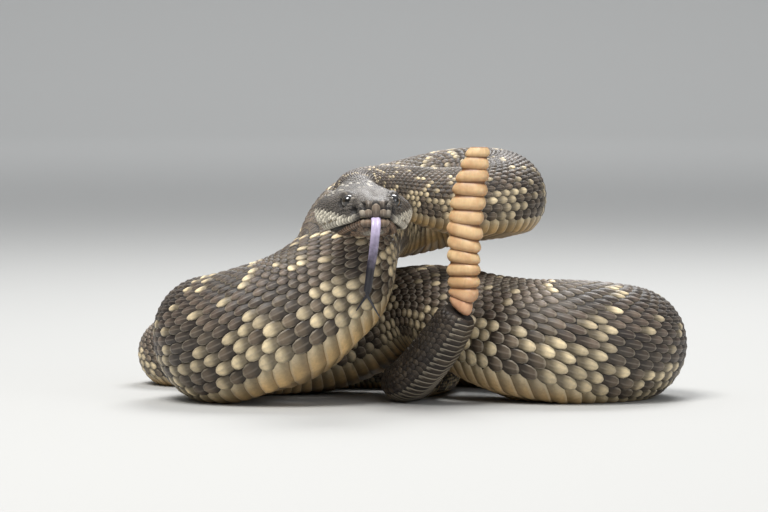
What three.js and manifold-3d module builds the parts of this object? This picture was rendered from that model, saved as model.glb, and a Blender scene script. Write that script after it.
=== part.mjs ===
// Pacific rattlesnake, coiled and alert, life size. Millimetres, +Z up, -Y towards the viewer.
import * as THREE from 'three';
import { mergeVertices } from 'three/addons/utils/BufferGeometryUtils.js';
import Module from 'manifold-3d';

const wasm = await Module();
wasm.setup();

// Plan centre of the whole animal in the coordinates of the route below
const MIDDLE = new THREE.Vector2(-1.234, 36.355);

// Space left between touching pieces
const GAP = 0.5;

// The belly is flat at this share of the half height below the axis
const FLAT = 0.92;

// How far a resting length is pressed against the floor
const PRESS = 0.3;

// Route of the body from the head joint to the rattle, one place a row:
// x, y, height of the belly over the floor, half width, half height, lean of the back in x and in y
const ROUTE = [
  [-17.8, -8.4, 63.0, 7.6, 7.4, 0, 0.05],
  [-18.9, -1.5, 63.6, 7.6, 7.4, 0, 0.05],
  [-17.0, 6.4, 64.4, 8.0, 7.8, 0, 0],
  [-9.5, 13.0, 63.6, 8.6, 8.6, 0, 0],
  [1.5, 16.2, 60.8, 9.6, 9.8, 0, 0.05],
  [13.0, 17.6, 56.6, 11.0, 11.6, 0, 0.15],
  [25.5, 22.5, 55.2, 12.6, 13.2, 0, 0.3],
  [33.6, 36.0, 55.0, 14.0, 14.8, -0.3, 0.2],
  [28.0, 50.5, 54.0, 15.2, 16.2, -0.1, 0.3],
  [14.0, 57.0, 52.2, 15.8, 16.9, 0, 0.35],
  [-2.0, 56.0, 47.8, 16.2, 17.0, 0, 0.3],
  [-13.5, 49.0, 45.6, 16.6, 16.8, 0.1, 0.25],
  [-19.0, 37.8, 41.9, 16.9, 17.0, 0, 0.25],
  [-21.4, 26.0, 35.8, 17.2, 17.3, -0.1, 0.25],
  [-23.0, 15.0, 27.6, 18.2, 18.8, -0.2, 0.25],
  [-28.2, 7.5, 18.4, 19.2, 20.8, -0.1, 0.3],
  [-36.5, 3.5, 10.2, 19.8, 22.2, -0.1, 0.3],
  [-47.0, 1.6, 4.6, 20.0, 22.9, -0.1, 0.15],
  [-62.8, 7.8, 0.5, 20.0, 22.5, -0.3, -0.2],
  [-69.2, 24.5, 0, 19.4, 22.2, -0.4, -0.1],
  [-62.4, 40.6, 0, 19.2, 20.2, -0.2, 0.1],
  [-47.0, 47.5, 0, 19.6, 19.8, 0, 0.1],
  [-32.0, 49.5, 0.6, 20.0, 19.2, 0, 0.2],
  [-17.0, 50.0, 6.0, 20.6, 17.4, 0, 0.15],
  [-2.0, 48.0, 15.4, 21.2, 15.0, 0, 0.1],
  [13.0, 40.5, 14.0, 21.6, 16.2, 0.05, 0.15],
  [28.0, 25.5, 3.2, 21.4, 20.4, 0.1, 0.3],
  [42.3, 14.8, 0, 20.8, 21.7, 0.05, 0.3],
  [55.3, 11.9, 0, 20.2, 21.8, 0.05, -0.1],
  [67.2, 16.9, 0, 19.8, 21.2, 0.25, -0.3],
  [74.4, 27.3, 0, 19.4, 20.2, 0.4, -0.2],
  [75.4, 39.9, 0, 19.0, 19.4, 0.35, 0],
  [70.2, 51.5, 0, 18.6, 18.5, 0.1, 0.05],
  [60.0, 61.5, 0, 18.2, 18.1, 0, 0],
  [46.5, 70.5, 0, 17.7, 17.7, 0, 0],
  [31.5, 82.0, 0, 17.1, 17.2, 0, 0],
  [16.0, 96.5, 0, 16.3, 16.5, 0, 0],
  [-1.5, 106.5, 0, 15.6, 15.8, 0, 0],
  [-20.5, 111.0, 0, 14.8, 15.0, 0, 0],
  [-39.0, 113.0, 0, 14.0, 14.2, 0, 0],
  [-56.0, 113.2, 0, 13.3, 13.6, 0, 0],
  [-70.5, 112.2, 0, 12.9, 13.1, 0, 0],
  [-81.1, 107.4, 0, 12.5, 12.8, 0.05, 0],
  [-85.6, 97.0, 0, 12.2, 12.5, 0.1, 0],
  [-81.1, 86.6, 0, 12.0, 12.2, 0.05, 0],
  [-70.5, 81.8, 0, 11.8, 11.9, 0, 0],
  [-57.5, 80.2, 0, 11.4, 11.4, 0, 0],
  [-43.0, 79.6, 0, 11.0, 10.9, 0, 0],
  [-28.0, 79.4, 0, 10.6, 10.3, 0, 0],
  [-13.5, 79.6, 0, 10.2, 9.4, 0, 0],
  [-1.5, 77.8, 0, 9.8, 8.4, 0, 0],
  [7.0, 70.5, 0, 9.3, 7.3, 0, 0],
  [8.6, 59.0, 0, 8.8, 6.5, 0, 0],
  [5.8, 47.5, 0, 8.6, 6.3, 0, 0],
  [1.4, 36.0, 0, 8.8, 6.6, 0, 0],
  [-1.2, 24.5, 0, 9.2, 7.2, 0, 0],
  [-0.8, 13.2, 0.2, 9.3, 7.8, -0.3, 0.15],
  [2.4, 4.6, 3.6, 8.9, 8.0, -0.9, 0.4],
  [7.8, -1.4, 10.4, 8.4, 7.9, -1.5, 0.6],
  [12.6, -5.2, 18.2, 7.7, 7.4, -2.2, 0.9],
  [16.0, -7.0, 25.2, 6.8, 6.6, -3.6, 1.4],
];

// Lengths of the body, each from one row of the route to another
const LENGTHS = [
  ['neck', 0, 5],
  ['upper_loop', 5, 10],
  ['front_coil', 10, 17],
  ['left_turn', 17, 21],
  ['middle_coil', 21, 27],
  ['right_turn', 27, 33],
  ['back_coil', 33, 40],
  ['hind_turn', 40, 46],
  ['inner_coil', 46, 55],
  ['tail', 55, 60],
];

// Belly scutes: length of one, which grows with the body's half width, and the step at its free edge
const SCUTE_LENGTH = 3.2;
const SCUTE_GROWTH = 0.3;
const SCUTE_STEP = 0.5;
const SCUTE_LIP = 0.7;
const BELLY_ANGLE = 122 * Math.PI / 180;

// Sides of the body's cross-section
const SIDES = 18;

// Colours of the solids
const COLOURS = {
  scales: [0x5a5348, 0.6],
  crown: [0x8b8578, 0.6],
  dark_tail: [0x2c2622, 0.55],
  eye: [0x3a3428, 0.15],
  tongue: [0x3c3348, 0.4],
  horn: [0xcf9f66, 0.45],
};

const clamp = THREE.MathUtils.clamp;
const lerp = THREE.MathUtils.lerp;

// Smooth curve through four values of one column
function throughFour(a, b, c, d, t) {
  const bend = 2 * a - 5 * b + 4 * c - d;
  const swing = 3 * (b - c) + d - a;
  return b + 0.5 * t * (c - a + t * (bend + t * swing));
}

// The route drawn out in short steps and evened, with the length so far at each step
const STEPS = 12;
const EVEN_PASSES = 50;

function drawOut(rows) {
  let line = [];
  for (let i = 0; i < rows.length - 1; i += 1) {
    const four = [rows[Math.max(i - 1, 0)], rows[i], rows[i + 1], rows[Math.min(i + 2, rows.length - 1)]];
    for (let k = 0; k < STEPS; k += 1) {
      line.push(rows[0].map((_, c) => throughFour(...four.map((row) => row[c]), k / STEPS)));
    }
  }
  line.push([...rows.at(-1)]);
  for (let pass = 0; pass < EVEN_PASSES; pass += 1) {
    line = line.map((row, i) => {
      if (i === 0 || i === line.length - 1) return row;
      return row.map((v, c) => (line[i - 1][c] + 2 * v + line[i + 1][c]) / 4);
    });
  }
  return line;
}

const steps = drawOut(ROUTE.map((row) => {
  const height = row[2] + FLAT * row[4] - (row[2] === 0 ? PRESS : 0);
  return [row[0] - MIDDLE.x, row[1] - MIDDLE.y, height, ...row.slice(3)];
}));
const reach = [0];
for (let i = 1; i < steps.length; i += 1) {
  reach.push(reach[i - 1] + Math.hypot(...[0, 1, 2].map((c) => steps[i][c] - steps[i - 1][c])));
}

// Direction of the route at one step
function heading(i) {
  const ahead = steps[Math.min(i + 1, steps.length - 1)];
  const behind = steps[Math.max(i - 1, 0)];
  return new THREE.Vector3(...[0, 1, 2].map((c) => ahead[c] - behind[c])).normalize();
}

// Place on the route at a length from the head: axis point, directions and half sizes
function placeAt(length) {
  const last = steps.length - 1;
  let i = reach.findIndex((far) => far > length);
  if (i < 0) i = last;
  i = clamp(i, 1, last);
  const t = (length - reach[i - 1]) / (reach[i] - reach[i - 1]);
  const row = steps[i].map((v, c) => lerp(steps[i - 1][c], v, t));
  const along = heading(i - 1).lerp(heading(i), t).normalize();
  const lean = new THREE.Vector3(row[5], row[6], 1);
  const across = new THREE.Vector3().crossVectors(lean, along).normalize();
  const back = new THREE.Vector3().crossVectors(along, across);
  return { axis: new THREE.Vector3(row[0], row[1], row[2]), along, across, back, wide: row[3], high: row[4] };
}

// One ring of the body, raised by step on the belly
function bodyRing(length, step) {
  const place = placeAt(length);
  const ring = [];
  for (let k = 0; k < SIDES; k += 1) {
    const angle = 2 * Math.PI * k / SIDES;
    const rise = Math.abs(angle - Math.PI) < Math.PI - BELLY_ANGLE + 0.01 ? step : 0;
    const up = Math.max(Math.cos(angle), -FLAT) * (place.high + rise);
    const out = Math.sin(angle) * (place.wide + rise);
    const point = place.axis.clone().addScaledVector(place.across, out).addScaledVector(place.back, up);
    point.z = Math.max(point.z, 0);
    ring.push(point);
  }
  return ring;
}

// A closed skin over a row of rings, with a fan at each end and its faces turned out
function closedSkin(rings) {
  const sides = rings[0].length;
  const points = rings.flat();
  const faces = [];
  for (let r = 0; r < rings.length - 1; r += 1) {
    for (let k = 0; k < sides; k += 1) {
      const a = r * sides + k;
      const b = r * sides + (k + 1) % sides;
      faces.push(a, b, b + sides, a, b + sides, a + sides);
    }
  }
  const ends = [[0, true], [rings.length - 1, false]];
  for (const [r, first] of ends) {
    const centre = new THREE.Vector3();
    rings[r].forEach((p) => centre.addScaledVector(p, 1 / sides));
    points.push(centre);
    for (let k = 0; k < sides; k += 1) {
      const a = r * sides + k;
      const b = r * sides + (k + 1) % sides;
      faces.push(...(first ? [points.length - 1, b, a] : [points.length - 1, a, b]));
    }
  }
  let volume = 0;
  for (let f = 0; f < faces.length; f += 3) {
    const [a, b, c] = faces.slice(f, f + 3).map((i) => points[i]);
    volume += a.dot(b.clone().cross(c));
  }
  const geometry = new THREE.BufferGeometry();
  geometry.setAttribute('position', new THREE.Float32BufferAttribute(points.flatMap((p) => p.toArray()), 3));
  geometry.setIndex(volume > 0 ? faces : faces.reverse());
  return geometry;
}

// A length of the body with its belly scutes
function bodyLength(from, to) {
  const start = reach[from * STEPS] + GAP / 2;
  const end = reach[to * STEPS] - GAP / 2;
  const middle = placeAt((start + end) / 2);
  const count = Math.round((end - start) / (SCUTE_LENGTH + SCUTE_GROWTH * middle.wide));
  const pitch = (end - start) / count;
  const rings = [];
  for (let i = 0; i < count; i += 1) {
    rings.push(bodyRing(start + i * pitch + (i > 0 ? SCUTE_LIP / 2 : 0), 0));
    rings.push(bodyRing(start + (i + 1) * pitch - (i < count - 1 ? SCUTE_LIP / 2 : 0), SCUTE_STEP));
  }
  return closedSkin(rings);
}

// Solids that can be joined and cut
function toSolid(geometry) {
  const bare = geometry.clone();
  bare.deleteAttribute('normal');
  bare.deleteAttribute('uv');
  const merged = mergeVertices(bare, 1e-4);
  const mesh = new wasm.Mesh({
    numProp: 3,
    vertProperties: new Float32Array(merged.attributes.position.array),
    triVerts: new Uint32Array(merged.index.array),
  });
  mesh.merge();
  return new wasm.Manifold(mesh);
}

// The largest closed surface of a solid, as a geometry
function fromSolid(solid) {
  const bodies = solid.decompose().sort((a, b) => b.volume() - a.volume());
  const mesh = bodies[0].getMesh();
  const geometry = new THREE.BufferGeometry();
  geometry.setAttribute('position', new THREE.BufferAttribute(new Float32Array(mesh.vertProperties), 3));
  geometry.setIndex([...mesh.triVerts]);
  return geometry;
}

// Head, in its own frame: x from the neck joint to the snout, y to the animal's left, z up
const HEAD_PLACE = { yaw: -81 * Math.PI / 180, pitch: 5 * Math.PI / 180 };
const HEAD_SIDES = 28;
const HEAD_LENGTH = 41.3;

// Distance from the joint, half width, height of the crown, height of the widest level, depth of the jaw
const HEAD_FORM = [
  [0.3, 7.6, 7.2, 0, 7.2],
  [4, 9.4, 6.3, -0.6, 8.4],
  [8, 13.0, 5.6, -1.6, 9.6],
  [12.5, 15.8, 5.3, -2.4, 10.4],
  [17, 15.6, 5.2, -2.7, 10.6],
  [21.5, 13.6, 5.2, -2.5, 10.3],
  [26, 11.4, 5.3, -2.0, 9.6],
  [30, 9.5, 5.2, -1.4, 8.8],
  [33.5, 7.8, 4.9, -1.1, 8.3],
  [35.5, 6.9, 4.7, -0.9, 8.0],
  [37.2, 6.2, 4.5, -0.7, 7.6],
  [38.8, 5.5, 4.3, -0.5, 7.1],
  [40.3, 4.7, 4.0, -0.2, 6.0],
  [41.1, 3.4, 3.2, 0, 4.6],
  [HEAD_LENGTH, 1.4, 1.8, 0.1, 2.2],
];
const HEAD_STEPS = 2;
const JAW_SQUARE = 2.5;

// The crown is round at the cheeks and square at the snout
const CROWN_SQUARE = { back: 1.8, front: 3.2, from: 16, to: 26 };

function crownSquare(x) {
  return lerp(CROWN_SQUARE.back, CROWN_SQUARE.front, THREE.MathUtils.smoothstep(x, CROWN_SQUARE.from, CROWN_SQUARE.to));
}

// Half width, crown height, widest level and jaw depth at a distance from the joint
function headSizes(x) {
  const last = HEAD_FORM.length - 1;
  let i = HEAD_FORM.findIndex((row) => row[0] > x) - 1;
  if (i < 0) i = last - 1;
  const four = [HEAD_FORM[Math.max(i - 1, 0)], HEAD_FORM[i], HEAD_FORM[i + 1], HEAD_FORM[Math.min(i + 2, last)]];
  const t = clamp((x - four[1][0]) / (four[2][0] - four[1][0]), 0, 1);
  return [1, 2, 3, 4].map((c) => throughFour(...four.map((row) => row[c]), t));
}

function headPoint(x, angle) {
  const [wide, crown, level, jaw] = headSizes(x);
  const up = Math.cos(angle);
  const side = Math.sin(angle);
  const power = 2 / (up > 0 ? crownSquare(x) : JAW_SQUARE);
  const z = level + (up > 0 ? crown - level : -jaw - level) * Math.abs(up) ** power;
  const y = -wide * Math.sign(side) * Math.abs(side) ** power;
  return new THREE.Vector3(x, y, z);
}

function headCore() {
  const stations = [];
  for (let i = 0; i < HEAD_FORM.length - 1; i += 1) {
    for (let k = 0; k < HEAD_STEPS; k += 1) {
      stations.push(lerp(HEAD_FORM[i][0], HEAD_FORM[i + 1][0], k / HEAD_STEPS));
    }
  }
  stations.push(HEAD_LENGTH);
  const rings = stations.map((x) => {
    const ring = [];
    for (let k = 0; k < HEAD_SIDES; k += 1) ring.push(headPoint(x, -2 * Math.PI * k / HEAD_SIDES));
    return ring;
  });
  return closedSkin(rings);
}

// Height of the mouth line at a distance from the joint, from the corner to the snout
const MOUTH = { corner: 15, front: 40.6, cornerHeight: -9.2, frontHeight: -2 };
const MOUTH_CURVE = 1.15;
const MOUTH_POINTS = 15;
const MOUTH_DEPTH = 1.3;
const MOUTH_OPEN = 0.7;
const MOUTH_SLIT = 0.12;
const MOUTH_REACH = 2.5;
const MOUTH_TAPER = 3;

function mouthHeight(x) {
  const t = clamp((x - MOUTH.corner) / (MOUTH.front - MOUTH.corner), 0, 1);
  return lerp(MOUTH.cornerHeight, MOUTH.frontHeight, t ** MOUTH_CURVE);
}

// Half width of the head at the height of the mouth
function mouthHalfWidth(x) {
  const [wide, , level, jaw] = headSizes(x);
  const fall = clamp((level - mouthHeight(x)) / (jaw + level), 0, 1);
  return wide * (1 - fall ** JAW_SQUARE) ** (1 / JAW_SQUARE);
}

// Wedge that cuts the mouth line from one corner round the snout to the other
function mouthCut() {
  const outline = [];
  for (let i = 0; i < MOUTH_POINTS; i += 1) {
    const t = i / (MOUTH_POINTS - 1);
    const x = lerp(MOUTH.corner, MOUTH.front, Math.sin(t * Math.PI / 2));
    outline.push(new THREE.Vector3(x, mouthHalfWidth(x), mouthHeight(x)));
  }
  const mirrored = outline.map((p) => new THREE.Vector3(p.x, -p.y, p.z)).reverse();
  const front = new THREE.Vector3(HEAD_LENGTH - 0.1, 0, MOUTH.frontHeight);
  const line = [...outline, front, ...mirrored];
  const rings = line.map((p, i) => {
    const ahead = line[Math.min(i + 1, line.length - 1)];
    const behind = line[Math.max(i - 1, 0)];
    const along = ahead.clone().sub(behind).setZ(0).normalize();
    const out = new THREE.Vector3(-along.y, along.x, 0);
    const open = MOUTH_OPEN * clamp(Math.min(i, line.length - 1 - i) / MOUTH_TAPER, 0.2, 1);
    const outer = p.clone().addScaledVector(out, MOUTH_REACH);
    const inner = p.clone().addScaledVector(out, -MOUTH_DEPTH);
    return [
      outer.clone().setZ(p.z + open),
      inner.clone().setZ(p.z + MOUTH_SLIT),
      inner.clone().setZ(p.z - MOUTH_SLIT),
      outer.clone().setZ(p.z - open),
    ];
  });
  return closedSkin(rings);
}

// Round body of three half sizes at a place, turned about the upright and then tilted
function pebble(place, sizes, turn = 0, tilt = 0, detail = 12) {
  const geometry = new THREE.SphereGeometry(1, detail, Math.round(detail / 2));
  geometry.scale(...sizes);
  geometry.rotateY(tilt);
  geometry.rotateZ(turn);
  geometry.translate(...place);
  return geometry;
}

const EYE = { x: 29.8, y: 7.3, z: 2.3, radius: 2.3 };
const BROW = { x: 28.4, y: 7.9, z: 5, half: [4.8, 2.3, 1.4], turn: 0.2, tilt: 0.06 };
const PIT = { x: 36, y: 6.7, z: 0.1, half: [1.6, 1.6, 1.4], turn: 0.3 };
const NOSTRIL = { x: 40.1, y: 4, z: 2.9, half: [1, 0.6, 1.4] };
const TONGUE_WIDTH = 3.1;
const TONGUE_THICK = 1.3;
const SLOT = { x: 39.4, y: 0, z: -1.9, half: [3.4, TONGUE_WIDTH / 2 + GAP + 0.4, 1.5] };

function headGeometry() {
  let head = toSolid(headCore());
  for (const side of [-1, 1]) {
    const brow = pebble([BROW.x, side * BROW.y, BROW.z], BROW.half, -side * BROW.turn, BROW.tilt);
    head = head.add(toSolid(brow));
  }
  head = head.subtract(toSolid(mouthCut()));
  head = head.subtract(toSolid(pebble([SLOT.x, SLOT.y, SLOT.z], SLOT.half)));
  for (const side of [-1, 1]) {
    const orbit = EYE.radius + GAP;
    head = head.subtract(toSolid(pebble([EYE.x, side * EYE.y, EYE.z], [orbit, orbit, orbit], 0, 0, 16)));
    head = head.subtract(toSolid(pebble([PIT.x, side * PIT.y, PIT.z], PIT.half, side * PIT.turn)));
    head = head.subtract(toSolid(pebble([NOSTRIL.x, side * NOSTRIL.y, NOSTRIL.z], NOSTRIL.half)));
  }
  return fromSolid(head);
}

// The tongue hangs from its slot and forks near its end; places are in the head's frame
const TONGUE_LINE = [
  [38.0, 0, -1.9], [40.8, 0, -1.9], [43.4, -0.2, -3.1], [45.0, -0.7, -6.8],
  [46.0, -1.5, -13], [46.6, -2.5, -19], [47.0, -3.3, -25],
];
const TONGUE_TIPS = [[[47.2, -4.6, -27.6], [47.6, -7.0, -31.0]], [[47.3, -1.9, -28.6], [47.8, 0.9, -33.5]]];
const TONGUE_SIDES = 8;

function ribbon(points, widths, thicks) {
  const curve = new THREE.CatmullRomCurve3(points.map((p) => new THREE.Vector3(...p)));
  const count = points.length * 3;
  const rings = [];
  for (let i = 0; i <= count; i += 1) {
    const t = i / count;
    const along = curve.getTangent(t);
    const across = new THREE.Vector3(0, 1, 0).addScaledVector(along, -along.y).normalize();
    const front = new THREE.Vector3().crossVectors(along, across);
    const wide = lerp(widths[0], widths[1], t) / 2;
    const thick = lerp(thicks[0], thicks[1], t) / 2;
    const ring = [];
    for (let k = 0; k < TONGUE_SIDES; k += 1) {
      const angle = 2 * Math.PI * (k + 0.5) / TONGUE_SIDES;
      const point = curve.getPoint(t).addScaledVector(across, wide * Math.cos(angle));
      ring.push(point.addScaledVector(front, thick * Math.sin(angle)));
    }
    rings.push(ring);
  }
  return closedSkin(rings);
}

function tongueGeometry() {
  const stem = ribbon(TONGUE_LINE, [TONGUE_WIDTH, 2.4], [TONGUE_THICK, 1.1]);
  let tongue = toSolid(stem);
  const root = TONGUE_LINE.at(-2);
  for (const [near, tip] of TONGUE_TIPS) {
    tongue = tongue.add(toSolid(ribbon([root, TONGUE_LINE.at(-1), near, tip], [1.5, 0.55], [1.0, 0.55])));
  }
  return fromSolid(tongue);
}

// Rattle: interlocking two-lobed segments in a loop, standing on the end of the tail
const RATTLE = { segments: 13, height: 54.9, wide: 6.1, thick: 3.9, groove: 0.16 };
const RATTLE_SIDES = 18;
const RATTLE_X = 17.5;
const RATTLE_Y = -7.2;
const RATTLE_SWAY = 0.0033;
const RATTLE_STRAIGHT = 47;
const RATTLE_TWIST = [-0.75, -0.15];

// The foot lies square to the tail's end and turns upright over this share of the height
const RATTLE_TURN = 0.16;

// Bead of one segment: share of its length and share of its full size
const BEAD = [[0.04, 0.74], [0.28, 0.97], [0.6, 1], [0.94, 0.84]];

// The middle segments are longest
const UNEVEN = { swing: 0.016, shift: 0.08 };

// Share of the rattle's height below segment i
function segmentFoot(i) {
  const t = i / RATTLE.segments;
  return clamp(t - UNEVEN.swing * Math.sin(2 * Math.PI * (t - UNEVEN.shift)), 0, 1);
}

// Size of the rattle at a share of its height, small at the foot and at the tip
function rattleSize(t) {
  const foot = lerp(0.72, 1.02, clamp(t / RATTLE_TURN, 0, 1));
  const tip = clamp((1 - t) / 0.26, 0, 1);
  return foot * lerp(0.5, 1, tip ** 0.7);
}

function rattleRing(t, size) {
  const tail = placeAt(reach.at(-1));
  const foot = tail.axis.clone().addScaledVector(tail.along, GAP);
  const z = foot.z + RATTLE.height * t;
  const x = RATTLE_X + RATTLE_SWAY * (z - RATTLE_STRAIGHT) ** 2 - MIDDLE.x;
  const turned = THREE.MathUtils.smoothstep(t, 0, RATTLE_TURN);
  const centre = foot.setZ(z).lerp(new THREE.Vector3(x, RATTLE_Y - MIDDLE.y, z), turned);
  const up = tail.along.lerp(new THREE.Vector3(0, 0, 1), turned).normalize();
  const twist = lerp(...RATTLE_TWIST, t);
  const flat = new THREE.Vector3(Math.cos(twist), Math.sin(twist), 0);
  const across = flat.addScaledVector(up, -flat.dot(up)).normalize();
  const front = new THREE.Vector3().crossVectors(up, across);
  const ring = [];
  for (let k = 0; k < RATTLE_SIDES; k += 1) {
    const angle = 2 * Math.PI * k / RATTLE_SIDES;
    const pinch = 1 - RATTLE.groove * Math.abs(Math.sin(angle)) ** 6;
    const point = centre.clone().addScaledVector(across, RATTLE.wide * size * Math.cos(angle));
    ring.push(point.addScaledVector(front, RATTLE.thick * size * Math.sin(angle) * pinch));
  }
  return ring;
}

function rattleGeometry() {
  const rings = [];
  for (let i = 0; i < RATTLE.segments; i += 1) {
    for (const [share, swell] of BEAD) {
      const t = lerp(segmentFoot(i), segmentFoot(i + 1), share);
      rings.push(rattleRing(t, rattleSize(t) * swell));
    }
  }
  return closedSkin(rings);
}

// The whole animal
const animal = new THREE.Group();

function addPiece(name, geometry, look) {
  const [color, roughness] = COLOURS[look];
  geometry.computeVertexNormals();
  const mesh = new THREE.Mesh(geometry, new THREE.MeshStandardMaterial({ color, roughness, metalness: 0 }));
  mesh.name = name;
  return mesh;
}

for (const [name, from, to] of LENGTHS) {
  animal.add(addPiece(name, bodyLength(from, to), name === 'tail' ? 'dark_tail' : 'scales'));
}

const headFrame = new THREE.Group();
const joint = placeAt(0).axis;
headFrame.position.copy(joint);
headFrame.rotation.set(0, HEAD_PLACE.pitch, HEAD_PLACE.yaw, 'ZYX');
headFrame.add(addPiece('head', headGeometry(), 'crown'));
for (const [name, side] of [['eye_left', 1], ['eye_right', -1]]) {
  const eye = pebble([0, 0, 0], [EYE.radius, EYE.radius, EYE.radius], 0, 0, 16);
  const mesh = addPiece(name, mergeVertices(eye), 'eye');
  mesh.position.set(EYE.x, side * EYE.y, EYE.z);
  headFrame.add(mesh);
}
headFrame.add(addPiece('tongue', tongueGeometry(), 'tongue'));
animal.add(headFrame);
animal.add(addPiece('rattle', rattleGeometry(), 'horn'));

export default animal;
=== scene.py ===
"""Looks of a coiled Pacific rattlesnake, built in layers around its solids.

One skin covers the head, body and tail. Keeled scales, belly scutes and head shields lie on it as solid
plates, and the eyes, tongue and rattle are pieces of their own. All shapes are worked out in millimetres in
the frame of the solids and turned to metres as each mesh is made.
"""

import math

import bpy
import numpy as np
from bpy.props import FloatProperty, FloatVectorProperty, IntProperty, PointerProperty
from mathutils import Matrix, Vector


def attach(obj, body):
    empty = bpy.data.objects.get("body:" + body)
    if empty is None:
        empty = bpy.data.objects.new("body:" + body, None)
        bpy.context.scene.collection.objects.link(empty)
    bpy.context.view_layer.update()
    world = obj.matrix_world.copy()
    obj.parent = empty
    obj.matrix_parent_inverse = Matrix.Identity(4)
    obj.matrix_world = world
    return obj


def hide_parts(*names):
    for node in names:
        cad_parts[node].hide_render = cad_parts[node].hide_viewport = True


bl_info = {
    "name": "Coiled Rattlesnake",
    "version": (1, 0, 0),
    "blender": (4, 5, 0),
    "location": "View3D > Sidebar > Rattlesnake",
    "description": "Builds the skin, scales, head, rattle and studio of a coiled Pacific rattlesnake",
    "category": "Object",
}

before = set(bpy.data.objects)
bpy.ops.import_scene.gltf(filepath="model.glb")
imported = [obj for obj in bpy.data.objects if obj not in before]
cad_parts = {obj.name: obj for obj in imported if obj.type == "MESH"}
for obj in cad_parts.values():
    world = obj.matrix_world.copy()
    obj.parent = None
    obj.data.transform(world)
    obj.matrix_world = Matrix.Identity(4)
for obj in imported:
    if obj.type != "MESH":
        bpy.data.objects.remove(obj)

MM = 0.001
TURN = 2 * math.pi
BODY = "root"

# Plan centre of the whole animal in the coordinates of the route
MIDDLE = (-1.234, 36.355)

# The belly is flat at this share of the half height below the axis, and is pressed a little on the floor
FLAT = 0.92
PRESS = 0.3

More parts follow.
